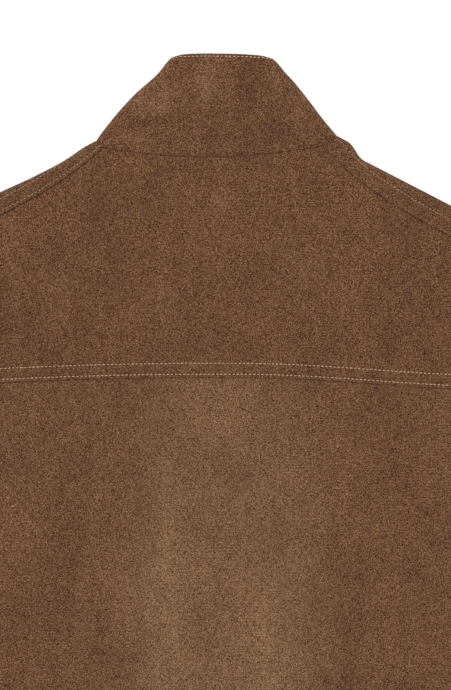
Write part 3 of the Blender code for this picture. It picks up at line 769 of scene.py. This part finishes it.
seamDistances = (0.0, 0.00008, 0.0003, 0.0007, 0.0012, 0.0018, 0.0024, 0.0031, 0.0042, 0.0054, 0.0068, 0.0080,
                 0.0090, 0.0098, 0.0106, 0.0118, 0.0134, 0.0155)


def buildYoke():
    station, lap = yokeEdgeCut["station"], yokeEdgeCut["lap"]
    lapStation = shoulderSeam["armhole"] - lap
    seamEnd = armhole(station, body["gap"] / 2)

    def bottom(u):
        x = u * seamEnd.x
        return Vector((x, yokeEdge(x)))

    def top(u):
        side = 1 if u > 0 else -1
        if abs(u) <= yoke["neckShare"]:
            point = backNeck(u / yoke["neckShare"])
            return Vector((point.x, point.y - body["gap"] / 2))
        length = shoulderRun(side)[2]
        s = length * (abs(u) - yoke["neckShare"]) / (1 - yoke["neckShare"])
        clear = shoulderRoll(side, s) + 2 * body["gap"]
        return shoulderPoint(side, s, max(clear, seamDistance(side, s) - lap))

    columns = []
    for u in spread(-1, 1, yoke["columns"]):
        side = 1 if u > 0 else -1
        low, high = bottom(u), top(u)
        height = high.y - low.y
        shares = [d / height for d in seamDistances]
        shares += spread(yoke["rowEnds"][0] / height, 1 - yoke["rowEnds"][1] / height, yoke["rows"])
        shares += [1 - body["edgeRound"] * 2 / height] + [1 - d / height for d in edgeTurn]
        column = []
        for share in shares:
            point = low.lerp(high, share)
            arm = mirrored(armhole(station + (lapStation - station) * share, body["gap"] / 2), side)
            point += (arm - bottom(side).lerp(top(side), share)) * abs(u) ** 6
            column.append(Vector((point.x, point.y, restHeight(point.x, point.y) + body["step"])))
        columns.append(column)
    rows = [list(row) for row in zip(*columns)]
    for row in rows:            # a few more columns where the ends turn down
        for end, inner in ((0, 1), (-1, -2)):
            a, b = row[end], row[inner]
            extra = [a.lerp(b, d / (b - a).length) for d in edgeTurn[::-1][1:]]
            if end == 0:
                row[1:1] = extra
            else:
                row[-1:-1] = extra[::-1]
    topFrom = len(rows) - len(edgeTurn)
    neckHalf = neckEnd(1).x + 0.004

    def relief(i, j, point):
        rise = 0.0
        if i < len(seamDistances):
            rise = twinRelief(seamDistances[i]) - yoke["lipSink"] * (1 - smooth(0, 0.004, seamDistances[i]))
        if i >= topFrom and abs(point.x) < neckHalf:
            rise -= roundedEdge(edgeTurn[i - topFrom] / 3, collar["neckRound"])
        return rise

    def tone(i, j, point):
        shade = patchTone(yoke["patches"], point.x, point.y)
        if i < len(seamDistances):
            # painted light along the turned lower edge, lifting the dark line the edge makes
            shade += yoke["lipLight"] * hump(seamDistances[i], 0.0022)
        if i >= topFrom and abs(point.x) < neckHalf:
            shade -= yoke["neckShade"] * (1 - edgeTurn[i - topFrom] / body["edgeRound"])
        return shade

    rounds = {"first": body["edgeRound"], "last": 0, "start": body["edgeRound"], "end": body["edgeRound"]}
    return makeSheet("back_yoke", rows, relief, tone, rounds, body["wall"])


# Fronts.

front = {
    "neck": -0.082,
    "lap": 0.015,
    "columns": 70,
    "lowerRows": 84,
    "armRows": 52,
    "neckRows": 30,
    "ridgeRise": 0.0029,
    "ridgeEnds": (0.013, 0.060),
    "liftEnds": (0.024, 0.036),
    "length": 0.54,
    "hemRow": 0.0035,       # nearest row to the hem's round
    "sideKnots": (0.610, 0.640),        # rows at the underarm, as shares of the way up the front edge
    "neckStation": 0.016,
    "tail": 11,                         # rows that wrap over the shoulder
    "lipSink": 0.00025,
    "patches": (
        {"at": (-0.150, -0.030), "size": (0.040, 0.020), "tone": -0.04},
        {"at": (0.150, -0.035), "size": (0.040, 0.020), "tone": -0.04},
        {"at": (-0.130, -0.300), "size": (0.040, 0.120), "lean": 6, "tone": 0.12},
        {"at": (0.120, -0.420), "size": (0.040, 0.130), "lean": -6, "tone": 0.10},
    ),
}


def buildFront(side, name):
    length = shoulderRun(side)[2]
    low, high = front["sideKnots"]
    startKnots = ((0.0, armLength + sideLength), (low, armLength + 0.012), (high, armLength), (1.0, 0.118),
                  (1.97, front["neckStation"]))

    def endAt(q):
        for (q0, d0), (q1, d1) in zip(startKnots, startKnots[1:]):
            if q <= q1:
                return d0 + (d1 - d0) * (q - q0) / (q1 - q0)
        return startKnots[-1][1]

    qs = [d / front["length"] for d in edgeTurn[::-1]]
    qs += spread(front["hemRow"] / front["length"], low, front["lowerRows"])
    qs += spread(low, 1.0, front["armRows"])[1:] + spread(1.0, 1.97, front["neckRows"])[1:]
    rows, rolls = [], []
    for q in qs:
        if q <= 1:
            start = Vector((-side * front["lap"], -body["length"] + (front["neck"] + body["length"]) * q))
        else:
            start = frontNeck(side, q - 1)
            away = (start - frontNeck(side, q - 1.02)).normalized()
            start -= turned(away) * side * body["gap"] / 2
        end, rolled = panelEnd(endAt(q))
        end = mirrored(end, side)
        out = end - start
        reach = out.length
        out.normalize()
        profile = endProfile(rolled)
        steps = [(d, 0.0) for d in edgeTurn[::-1] + [0.003, 0.006]]
        steps += [(d, 0.0) for d in spread(0.009, reach - profile[0][0], front["columns"])]
        steps += [(reach - d, gained) for d, gained in profile[1:]]
        row = []
        for distance, gained in steps:
            x, y = start + out * distance
            rise = ridgeRise(x)
            if side > 0:
                rise += body["step"] * (1 - smooth(*front["liftEnds"], x))
            row.append(Vector((x, y, rise + gained)))
        rows.append(row)
        rolls.append(rolled)
    shares = [d / reach for d, _ in steps]
    panelRows, tail = len(rows), front["tail"]
    arcs = []
    for k in range(len(seamDistances) + tail):
        row, line = [], []
        for share in shares:
            s = share * length
            roll = shoulderRoll(side, s)
            flat = max(seamDistance(side, s), roll + body["gap"]) - roll
            halfHeight = body["backTop"] / 2 + body["step"]
            around = math.pi * math.sqrt((roll ** 2 + halfHeight ** 2) / 2)
            near = min(0.0125, (flat + around) * 0.9) / seamDistances[-1]
            if k >= tail:
                arc = seamDistances[len(seamDistances) - 1 - (k - tail)] * (near if near < 0.8 else 1.0)
            else:
                last = seamDistances[-1] * (near if near < 0.8 else 1.0)
                arc = flat + around - (flat + around - last) * k / tail
            theta = max(0.0, (arc - flat) / around) * math.pi
            distance = roll * (1 - math.sin(theta)) if arc > flat else roll + flat - arc
            point = shoulderPoint(side, s, distance)
            height = restHeight(point.x, point.y) + 2 * body["step"]
            clear = shoulderRun(side)[1] * (body["gap"] / 2) * (1 - share)
            row.append(Vector((point.x + clear.x, point.y + clear.y, height * (1 + math.cos(theta)) / 2)))
            line.append((arc, (1 + math.cos(theta)) / 2))
        rows.append(row)
        arcs.append(line)

    def endRound(i):
        return body["edgeRound"] * (1 - rolls[i]) if i < panelRows else body["edgeRound"]

    def relief(i, j, point):
        if i >= panelRows:
            arc, raised = arcs[i - panelRows][j]
            return (twinRelief(arc) - front["lipSink"] * (1 - smooth(0, 0.004, arc))) * raised
        return 0.0

    def tone(i, j, point):
        shade = patchTone(front["patches"], point.x, point.y)
        if i >= panelRows:
            # painted light along the strip's turned edge, lifting the dark line the edge makes
            shade += 0.06 * hump(arcs[i - panelRows][j][0], 0.0020)
        return shade

    def startRound(i):
        return body["edgeRound"] if i < panelRows - front["neckRows"] else collar["neckRound"]

    rounds = {"first": body["edgeRound"], "last": body["edgeRound"], "start": startRound, "end": endRound}
    return makeSheet(name, rows, relief, tone, rounds, body["wall"], flip=side > 0), panelRows


# Collar.

def collarSection(side, level):
    along = shoulderRun(side)[1]
    base = shoulderPoint(side, 0.0, 0.0) - along * body["gap"] / 2
    top = collar["corners"][side]
    chord = top - base
    square = -turned(chord.normalized()) * side
    fold = base + chord * level + square * collar["bow"][side] * 27 / 4 * level * (1 - level) ** 2
    middle, reach, out = collar["bulge"][side]
    fold += square * (out * hump(level - middle, reach) - collar["cornerRound"] * smooth(0.93, 1.0, level))
    inwards = -shoulderOut(side, 0)
    tip = Vector((side * body["gap"], collar["frontTop"]))
    plain = (body["backTop"] + 2 * body["step"]) / 2
    reach = shoulderRoll(side, 0) + (plain - shoulderRoll(side, 0)) * level
    steps = []
    for edge in (Vector((-side, collar["topSlope"])), (tip - top).normalized()):
        slanted = edge / abs(edge.dot(square))
        steps.append(inwards.lerp(slanted, level) * reach)
    return fold, steps[0], steps[1]


def buildCollar():
    height = collar["height"]
    turn = turnSteps(collar["edgeRound"])
    levels = [-d / height for d in collar["allowance"]] + [0.25 * d / height for d in turn[::-1]]
    levels += spread(0.003 / height, 1 - 0.0046 / height, 26)
    levels += [1 - d / height for d in [0.0034, 0.0026, collar["stitch"], 0.0015] + turn]
    stitchRow = levels.index(1 - collar["stitch"] / height)
    rows = []
    for level in levels:
        halves, inner = {}, {}
        for side in (-1, 1):
            fold, backStep, frontStep = collarSection(side, level)
            top = restHeight(fold.x, fold.y) + 2 * body["step"]
            tip = Vector((side * body["gap"], collar["frontTop"]))
            points = []
            for share in spread(0.0, 0.95, collar["frontColumns"]):
                base = frontNeck(side, share)
                away = (base - frontNeck(side, share - 0.02)).normalized()
                base = base + turned(away) * side * body["gap"] / 2
                point = base.lerp(tip.lerp(fold + frontStep, share), level)
                x = side * max(body["gap"], side * point.x)
                points.append(Vector((x, point.y, ridgeRise(x))))
            for angle in spread(90, -90, collar["foldColumns"]):
                step = frontStep if angle > 0 else backStep
                point = fold + step * (1 - math.cos(math.radians(angle)))
                points.append(Vector((point.x, point.y, top / 2 * (1 - math.sin(math.radians(angle))))))
            halves[side] = points
            inner[side] = fold + backStep
        left, right = inner[-1], inner[1]
        middle = left.lerp(right, 0.5).y
        centre = body["gap"] + (height - body["gap"]) * level
        back = []
        for share in spread(0, 1, collar["backColumns"])[1:-1]:
            u = 2 * share - 1
            chord = left.lerp(right, share)
            y = chord.y + (centre - middle) * (1 - u * u)
            z = (restHeight(chord.x, y) + body["step"] - body["gap"]) * (1 - level)
            z += collar["edgeTop"] * level
            z += collar["swell"] * math.sin(math.pi * level)
            near = min((chord - left).length, (right - chord).length)
            edge = left if u < 0 else right
            beside = restHeight(edge.x, edge.y) + 2 * body["step"]
            z = beside + (z - beside) * smooth(0, collar["ease"], near)
            back.append(Vector((chord.x, y, z)))
        rows.append(halves[-1] + back + halves[1][::-1])
    width = len(rows[0])
    backFrom = collar["frontColumns"] + collar["foldColumns"] // 2

    def relief(i, j, point):
        fromTop = (1 - levels[i]) * height
        if levels[i] < 0:
            return -collar["allowanceSink"]
        rise = 0.0003 * (1 - smooth(0.008, 0.012, fromTop))
        rise -= 0.0002 * hump(fromTop - collar["stitch"], 0.0016)
        rise -= roundedEdge(levels[i] * height, collar["neckRound"])
        if backFrom <= j < width - backFrom:
            inside = smooth(0, 6, min(j - backFrom, width - backFrom - j))
            rise += foldRise(collar["folds"], point.x, point.y) * smooth(0.02, 0.12, levels[i]) * inside
            rise += 0.8 * unevenness(point.x * 1.6, point.y * 2.2, 12) * smooth(0.0, 0.1, levels[i])
        return rise

    def tone(i, j, point):
        fromTop = (1 - levels[i]) * height
        # painted shade along the rolled top edge
        shade = 0.02 - 0.14 * (1 - smooth(0.0008, 0.0022, fromTop))
        shade -= collar["seamShade"] * (1 - smooth(0.0002, 0.0012, levels[i] * height))
        if backFrom <= j < width - backFrom:
            shade += patchTone(collar["patches"], point.x, point.y)
        return shade

    rounded = collar["edgeRound"]
    rounds = {"first": 0, "last": rounded, "start": rounded, "end": rounded}
    return makeSheet("collar", rows, relief, tone, rounds, collar["wall"]), stitchRow


# Sleeves.

sleeve = {
    "cuffOuter": Vector((0.683, -0.512)),
    "cuffInner": Vector((0.587, -0.592)),
    "outerPull": (Vector((0.369, -0.143)), Vector((0.554, -0.359))),
    "innerPull": (Vector((0.336, -0.292)), Vector((0.459, -0.439))),
    "roll": 0.0032,
    "crown": 0.0006,
    "rows": 132,
    "across": 46,
    "length": 0.640,
    "folds": (              # places as shares of the sleeve's width and length
        {"at": (0.42, 0.20), "size": (0.26, 0.10), "slant": 0.30, "rise": 0.0010},
        {"at": (0.62, 0.42), "size": (0.30, 0.06), "slant": -0.22, "rise": 0.0012},
        {"at": (0.40, 0.52), "size": (0.32, 0.05), "slant": 0.20, "rise": 0.0012},
        {"at": (0.60, 0.72), "size": (0.26, 0.09), "slant": -0.25, "rise": 0.0008},
        {"at": (0.80, 0.07), "size": (0.28, 0.035), "slant": 0.28, "rise": 0.0012},
        {"at": (0.70, 0.14), "size": (0.30, 0.030), "slant": 0.22, "rise": -0.0006},
        {"at": (0.78, 0.31), "size": (0.24, 0.035), "slant": -0.16, "rise": 0.0008},
        {"at": (0.74, 0.47), "size": (0.26, 0.022), "slant": 0.10, "rise": -0.0009},
        {"at": (0.30, 0.62), "size": (0.26, 0.035), "slant": 0.16, "rise": 0.0007},
        {"at": (0.50, 0.86), "size": (0.30, 0.035), "slant": 0.12, "rise": 0.0006},
        {"at": (0.25, 0.35), "size": (0.22, 0.045), "slant": 0.24, "rise": 0.0007},
    ),
    "depth": 1.5,           # all the folds and the unevenness together
    "cuffStitch": 0.020,
    "tone": 0.05,
}


def buildSleeve(side, name):
    # The left and right arms don't crease alike: each fold is moved a little.
    length = sleeve["length"]
    vs = [d / length for d in edgeTurn[::-1]]
    vs += spread(0.0030 / length, 1 - 0.0032 / length, sleeve["rows"]) + [1 - d / length for d in edgeTurn]
    rows, places = [], []
    for v in vs:
        ease = smooth(0.0, 0.35, v)
        outerRoll = (body["backTop"] + 2 * body["step"]) / 2
        outerRoll += (sleeve["roll"] - outerRoll) * ease
        innerRoll = body["backTop"] / 2 + (sleeve["roll"] - body["backTop"] / 2) * ease
        outer = bezier((body["shoulder"], sleeve["cuffOuter"]), sleeve["outerPull"], v)
        inner = bezier((body["underarm"], sleeve["cuffInner"]), sleeve["innerPull"], v)
        keep = (1 - v) ** 3
        scale = armLength / (outer - inner).length * (1 - keep) + keep
        arcs = [1 - math.cos(math.radians(a)) for a in spread(0, 90, 7)]
        outerPart = [outerRoll * a * scale for a in arcs]
        innerPart = [armLength - innerRoll * a * scale for a in arcs[::-1]]
        across = outerPart + spread(outerPart[-1], innerPart[0], sleeve["across"])[1:-1] + innerPart
        upper, lower, upperPlaces, lowerPlaces = [], [], [], []
        for i, distance in enumerate(across):
            u = distance / armLength
            point = outer.lerp(inner, u) + (armhole(distance, -body["gap"] / 2)
                                            - body["shoulder"].lerp(body["underarm"], u)) * keep
            point = mirrored(point, side)
            top = 2 * (outerRoll * (1 - u) + innerRoll * u)
            loss = 0.0
            for edge, reach in ((distance / scale, outerRoll), ((armLength - distance) / scale, innerRoll)):
                if edge < reach:
                    loss += reach * (1 - math.sqrt(max(0.0, 1 - (1 - edge / reach) ** 2)))
            crown = sleeve["crown"] * smooth(0, 0.3, v) * 4 * u * (1 - u)
            upper.append(Vector((point.x, point.y, top + crown - loss)))
            upperPlaces.append((u, 1))
            if 0 < i < len(across) - 1:
                lower.append(Vector((point.x, point.y, loss)))
                lowerPlaces.append((u, -1))
        rows.append(upper + lower[::-1])
        places = upperPlaces + lowerPlaces[::-1]

    def relief(i, j, point):
        u, face = places[j]
        v = vs[i]
        if face < 0:
            return 0.0
        total = 0.0
        edge = smooth(0.0, 0.06, u) * smooth(0.0, 0.06, 1 - u)
        for k, fold in enumerate(sleeve["folds"]):
            u0, v0 = fold["at"]
            v0 += side * 0.018 * math.sin(k * 2.4)
            wide, tall = fold["size"]
            lean = (v - v0) + side * 0.02 * math.cos(k) + fold["slant"] * 0.25 * (u - u0)
            if abs(lean) < tall and abs(u - u0) < wide * 1.6:
                total += fold["rise"] * hump(u - u0, wide * 1.6) * hump(lean, tall)
        total += 1.2 * unevenness(point.x * 0.7 + side, point.y * 0.9, 21)
        total -= 0.0002 * hump((1 - v) * length - sleeve["cuffStitch"], 0.004)
        return total * sleeve["depth"] * edge * smooth(0, 0.02, v)

    def tone(i, j, point):
        return sleeve["tone"] + 0.07 * noise.noise(Vector((places[j][0] * 2.2, vs[i] * 9, side * 4.0)))

    def cloth(i, j):
        u, face = places[j]
        return Vector((u * 0.2 * face + side, vs[i] * length, rows[i][j].z))

    piece = makeSheet(name, rows, relief, tone, {"first": body["edgeRound"], "last": body["edgeRound"]},
                      body["wall"], flip=side < 0, ring=True, cloth=cloth)
    stitchRow = min(range(len(vs)), key=lambda i: abs((1 - vs[i]) * length - sleeve["cuffStitch"]))
    return piece, stitchRow


lowerBackPiece, hemRow = buildLowerBack()
yokePiece = buildYoke()
frontPieces = {}
for side, name in ((-1, "front_left"), (1, "front_right")):
    frontPieces[side] = buildFront(side, name)
collarPiece, collarRow = buildCollar()
sleevePieces = {side: buildSleeve(side, name) for side, name in ((-1, "sleeve_left"), (1, "sleeve_right"))}


# Stitching.

stitch = {"pitch": 0.0028, "length": 0.0021, "thickness": 0.00070, "tilt": 0.10, "seed": 4,
          "proud": 0.00008, "pressed": 0.00030}     # out of the cloth, and into it on the underside


def buildStitchTree():
    # A thread stitch every pitch along each path, lying on the cloth and tilted a little at random.
    tree = bpy.data.node_groups.new("stitchRow", "GeometryNodeTree")
    tree.interface.new_socket(name="Path", in_out="INPUT", socket_type="NodeSocketGeometry")
    for label, kind in (("Pitch", "Float"), ("Length", "Float"), ("Thickness", "Float"), ("Tilt", "Float"),
                        ("Seed", "Int"), ("Thread", "Material")):
        tree.interface.new_socket(name=label, in_out="INPUT", socket_type="NodeSocket" + kind)
    tree.interface.new_socket(name="Stitches", in_out="OUTPUT", socket_type="NodeSocketGeometry")
    nodes, links = tree.nodes, tree.links

    def add(kind, **settings):
        node = nodes.new(kind)
        for key, value in settings.items():
            setattr(node, key, value)
        return node

    given, result = add("NodeGroupInput"), add("NodeGroupOutput")
    path = add("GeometryNodeMeshToCurve")
    links.new(given.outputs["Path"], path.inputs["Mesh"])
    spaced = add("GeometryNodeResampleCurve", mode="LENGTH")
    links.new(path.outputs["Curve"], spaced.inputs["Curve"])
    links.new(given.outputs["Pitch"], spaced.inputs["Length"])
    ball = add("GeometryNodeMeshUVSphere")
    ball.inputs["Segments"].default_value = 6
    ball.inputs["Rings"].default_value = 5
    ball.inputs["Radius"].default_value = 0.5
    soft = add("GeometryNodeSetShadeSmooth")
    links.new(ball.outputs["Mesh"], soft.inputs["Geometry"])
    place = add("GeometryNodeInstanceOnPoints")
    links.new(spaced.outputs["Curve"], place.inputs["Points"])
    links.new(soft.outputs["Geometry"], place.inputs["Instance"])
    tangent = add("GeometryNodeInputTangent")
    alongPath = add("FunctionNodeAlignRotationToVector", axis="X")
    links.new(tangent.outputs["Tangent"], alongPath.inputs["Vector"])
    lie = add("GeometryNodeInputNamedAttribute", data_type="FLOAT_VECTOR")
    lie.inputs["Name"].default_value = "lie"
    upright = add("FunctionNodeAlignRotationToVector", axis="Z", pivot_axis="X")
    links.new(alongPath.outputs["Rotation"], upright.inputs["Rotation"])
    links.new(lie.outputs["Attribute"], upright.inputs["Vector"])
    chance = add("FunctionNodeRandomValue", data_type="FLOAT")
    minus = add("ShaderNodeMath", operation="MULTIPLY")
    minus.inputs[1].default_value = -1
    links.new(given.outputs["Tilt"], minus.inputs[0])
    floatInputs = [socket for socket in chance.inputs if socket.type == "VALUE"]
    links.new(minus.outputs[0], floatInputs[0])
    links.new(given.outputs["Tilt"], floatInputs[1])
    links.new(given.outputs["Seed"], chance.inputs["Seed"])
    floatOut = next(socket for socket in chance.outputs if socket.type == "VALUE")
    turn = add("FunctionNodeAxisAngleToRotation")
    turn.inputs["Axis"].default_value = (0, 0, 1)
    links.new(floatOut, turn.inputs["Angle"])
    turned = add("FunctionNodeRotateRotation", rotation_space="LOCAL")
    links.new(upright.outputs["Rotation"], turned.inputs["Rotation"])
    links.new(turn.outputs["Rotation"], turned.inputs["Rotate By"])
    links.new(turned.outputs["Rotation"], place.inputs["Rotation"])
    size = add("ShaderNodeCombineXYZ")
    longer = add("ShaderNodeMath", operation="MULTIPLY_ADD")
    links.new(floatOut, longer.inputs[0])
    longer.inputs[1].default_value = 0.003
    links.new(given.outputs["Length"], longer.inputs[2])
    links.new(longer.outputs[0], size.inputs["X"])
    links.new(given.outputs["Thickness"], size.inputs["Y"])
    links.new(given.outputs["Thickness"], size.inputs["Z"])
    links.new(size.outputs["Vector"], place.inputs["Scale"])
    real = add("GeometryNodeRealizeInstances")
    links.new(place.outputs["Instances"], real.inputs["Geometry"])
    finish = add("GeometryNodeSetMaterial")
    links.new(real.outputs["Geometry"], finish.inputs["Geometry"])
    links.new(given.outputs["Thread"], finish.inputs["Material"])
    links.new(finish.outputs["Geometry"], result.inputs["Stitches"])
    return tree


stitchTree = buildStitchTree()


def rowPath(name, i, start=0, stop=None):
    sheet = sheets[name]
    stop = len(sheet["rows"][i]) if stop is None else stop
    path = [(sheet["rows"][i][j], sheet["normals"][i][j]) for j in range(start, stop)]
    return path + path[:1] if sheet["ring"] else path


def columnPath(name, j, start, stop):
    sheet = sheets[name]
    return [(sheet["rows"][i][j], sheet["normals"][i][j]) for i in range(start, stop)]


def sewRows(name, paths, finish=thread):
    verts, edges, lies = [], [], []
    for path in paths:
        first = len(verts)
        for point, normal in path:
            proud = stitch["proud"] if normal.z > -0.3 else -stitch["pressed"]
            verts.append(point + neckCentre + normal * proud)
            lies.append(normal)
        edges += [(k, k + 1) for k in range(first, len(verts) - 1)]
    data = bpy.data.meshes.new(name + "_path")
    data.from_pydata(verts, edges, [])
    lie = data.attributes.new("lie", "FLOAT_VECTOR", "POINT")
    for k, normal in enumerate(lies):
        lie.data[k].vector = normal
    holder = bpy.data.objects.new(name + "_path", data)
    root.objects.link(holder)
    sewing = holder.modifiers.new("stitches", "NODES")
    sewing.node_group = stitchTree
    values = {"Pitch": stitch["pitch"], "Length": stitch["length"], "Thickness": stitch["thickness"],
              "Tilt": stitch["tilt"], "Seed": stitch["seed"], "Thread": finish}
    for item in stitchTree.interface.items_tree:
        if item.in_out == "INPUT" and item.name in values:
            sewing[item.identifier] = values[item.name]
    holder.update_tag()
    bpy.context.view_layer.update()
    done = bpy.data.meshes.new_from_object(holder.evaluated_get(bpy.context.evaluated_depsgraph_get()))
    bpy.data.objects.remove(holder)
    done.name = name
    piece = bpy.data.objects.new(name, done)
    root.objects.link(piece)
    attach(piece, "root")
    print("sewed", name, len(done.polygons), "faces")
    return piece


nearRow, farRow = seamDistances.index(twinRows["near"]), seamDistances.index(twinRows["far"])
yokeStitches = sewRows("stitches_yoke", [rowPath("back_yoke", nearRow), rowPath("back_yoke", farRow)])
for side, name in ((-1, "front_left"), (1, "front_right")):
    lastRow = frontPieces[side][1] + front["tail"] + len(seamDistances) - 1
    hemLine = body["hemStitch"] - body["length"]
    hem = min(range(len(sheets[name]["rows"])), key=lambda i: abs(sheets[name]["rows"][i][0].y - hemLine))
    paths = [rowPath(name, lastRow - farRow), rowPath(name, hem),
             columnPath(name, 7, 3, front["lowerRows"] + front["armRows"])]
    edgeFinish = shoulderThread if side < 0 else darkThread
    edge = sewRows("stitches_edge_" + name, [rowPath(name, lastRow - nearRow)], edgeFinish)
    sewRows("stitches_" + name, paths, shoulderThread)
backStitches = sewRows("stitches_hem", [rowPath("back_lower", hemRow)])
collarEnd = len(sheets["collar"]["rows"][0]) - 2
collarStitches = sewRows("stitches_collar", [rowPath("collar", collarRow, 2, collarEnd)])
cuffStitches = {side: sewRows("stitches_" + name, [rowPath(name, sleevePieces[side][1])])
                for side, name in ((-1, "sleeve_left"), (1, "sleeve_right"))}


# Buttons, face down under the left front.

button = {"sides": 40, "radius": 0.0095, "height": 0.0026, "rim": 0.0074, "well": 0.0007,
          "holeRadius": 0.00095, "holeSpacing": 0.0019, "thread": (0.0038, 0.0009, 0.0007)}


def buildButton(index):
    low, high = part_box(f"button_{index}")
    middle = (low + high) / 2
    r, h, rim, well = button["radius"], button["height"], button["rim"], button["well"]
    profile = ((r * 0.55, h), (r - 0.0012, h), (r - 0.0004, h - 0.0003), (r, h - 0.0009), (r, 0.0009),
               (r - 0.0003, 0.0003), (r - 0.0009, 0.0), (rim + 0.0003, 0.0), (rim - 0.0003, 0.0002),
               (rim - 0.0010, well), (r * 0.45, well))
    mesh = bmesh.new()
    rings = []
    for radius, z in profile:
        ring = []
        for k in range(button["sides"]):
            a = math.tau * k / button["sides"]
            place = (middle.x + radius * math.cos(a), middle.y + radius * math.sin(a), low.z + z)
            ring.append(mesh.verts.new(place))
        rings.append(ring)
    for first, second in zip(rings, rings[1:]):
        for k in range(button["sides"]):
            m = (k + 1) % button["sides"]
            mesh.faces.new((first[k], second[k], second[m], first[m]))
    mesh.faces.new(rings[0])
    mesh.faces.new(rings[-1][::-1])
    data = bpy.data.meshes.new(f"button_{index}_turned")
    mesh.normal_update()
    mesh.to_mesh(data)
    mesh.free()
    blank = bpy.data.objects.new("blank", data)
    root.objects.link(blank)
    drills = bmesh.new()
    for k in range(4):
        a = math.pi / 4 + math.pi / 2 * k
        reach = button["holeSpacing"] / math.sqrt(2)
        made = bmesh.ops.create_cone(drills, cap_ends=True, segments=12, radius1=button["holeRadius"],
                                     radius2=button["holeRadius"], depth=0.01)
        shift = Vector((middle.x + reach * math.cos(a) * 1.2, middle.y + reach * math.sin(a) * 1.2, low.z))
        bmesh.ops.translate(drills, verts=made["verts"], vec=shift)
    drillData = bpy.data.meshes.new("drills")
    drills.to_mesh(drillData)
    drills.free()
    cutter = bpy.data.objects.new("drills", drillData)
    root.objects.link(cutter)
    holes = blank.modifiers.new("holes", "BOOLEAN")
    holes.object = cutter
    holes.operation = "DIFFERENCE"
    holes.solver = "EXACT"
    bpy.context.view_layer.update()
    done = bpy.data.meshes.new_from_object(blank.evaluated_get(bpy.context.evaluated_depsgraph_get()))
    bpy.data.objects.remove(blank)
    bpy.data.objects.remove(cutter)
    done.name = f"button_{index}_turned"
    done.materials.clear()
    done.materials.append(horn)
    done.shade_smooth()
    piece = bpy.data.objects.new(f"button_{index}_turned", done)
    root.objects.link(piece)
    piece.data.set_sharp_from_angle(angle=math.radians(35))
    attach(piece, "root")
    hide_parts(f"button_{index}")
    sew = bmesh.new()
    for across in (-1, 1):
        bar = bmesh.ops.create_uvsphere(sew, u_segments=8, v_segments=6, radius=0.5)
        bmesh.ops.scale(sew, verts=bar["verts"], vec=button["thread"])
        place = (middle.x, middle.y + across * button["holeSpacing"] * 0.6, low.z + well - 0.0001)
        bmesh.ops.translate(sew, verts=bar["verts"], vec=place)
    tie = bpy.data.meshes.new(f"button_{index}_thread")
    sew.to_mesh(tie)
    sew.free()
    tie.shade_smooth()
    tie.materials.append(thread)
    threadPiece = bpy.data.objects.new(f"button_{index}_thread", tie)
    root.objects.link(threadPiece)
    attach(threadPiece, "root")


for index in range(1, 7):
    buildButton(index)
print("made buttons")


# Floor, light and camera.

studio = {"world": 0.68, "key": 31.0, "keyPlace": (-0.55, 1.8, 2.3), "keySize": (2.2, 1.2), "floor": 0.93,
          "glow": 0.32, "floorHalf": 30, "floorLevel": -0.0004}


def buildFloor():
    made, tree, shader = newMaterial("studio_floor")
    place = tree.nodes.new("ShaderNodeTexCoord")
    cloud = noiseNode(tree, place.outputs["Object"], (3, 3, 3), 2, 0.5)
    ramp = mathNode(tree, "MULTIPLY_ADD", cloud, 0.01, studio["floor"])
    both = tree.nodes.new("ShaderNodeCombineColor")
    for socket in both.inputs:
        tree.links.new(ramp, socket)
    tree.links.new(both.outputs["Color"], shader.inputs["Base Color"])
    shader.inputs["Roughness"].default_value = 0.9
    shader.inputs["Specular IOR Level"].default_value = 0.1
    shader.inputs["Emission Color"].default_value = (1, 1, 1, 1)
    shader.inputs["Emission Strength"].default_value = studio["glow"]
    data = bpy.data.meshes.new("floor")
    corners = [(x * studio["floorHalf"], y * studio["floorHalf"], studio["floorLevel"])
               for x, y in ((-1, -1), (1, -1), (1, 1), (-1, 1))]
    data.from_pydata(corners, [], [(0, 1, 2, 3)])
    data.materials.append(made)
    floor = bpy.data.objects.new("floor", data)
    root.objects.link(floor)


def buildLight():
    world = bpy.data.worlds.new("studio")
    bpy.context.scene.world = world
    world.use_nodes = True
    world.node_tree.nodes["Background"].inputs["Color"].default_value = (1.0, 0.99, 0.98, 1)
    world.node_tree.nodes["Background"].inputs["Strength"].default_value = studio["world"]
    lamp = bpy.data.lights.new("key", "AREA")
    lamp.shape = "RECTANGLE"
    lamp.size, lamp.size_y = studio["keySize"]
    lamp.energy = studio["key"]
    lamp.color = (1.0, 0.985, 0.96)
    holder = bpy.data.objects.new("key", lamp)
    root.objects.link(holder)
    holder.location = studio["keyPlace"]
    aim = Vector((0, 0.1, 0)) - holder.location
    holder.rotation_euler = aim.to_track_quat("-Z", "Y").to_euler()


view = {"centre": Vector((0.0071, -0.1278)), "long": 0.4692, "distance": 2.5, "height": 0.009}


def buildCamera():
    lens = bpy.data.cameras.new("camera")
    lens.sensor_fit = "AUTO"
    lens.sensor_width = 36
    lens.lens = 36 * view["distance"] / view["long"]
    lens.clip_end = 50
    camera = bpy.data.objects.new("camera", lens)
    root.objects.link(camera)
    camera.location = (view["centre"].x + neckCentre.x, view["centre"].y + neckCentre.y,
                       view["height"] + view["distance"])
    camera.rotation_euler = (0, 0, 0)
    bpy.context.scene.camera = camera


buildFloor()
buildLight()
buildCamera()
bpy.context.scene.view_settings.view_transform = "Standard"
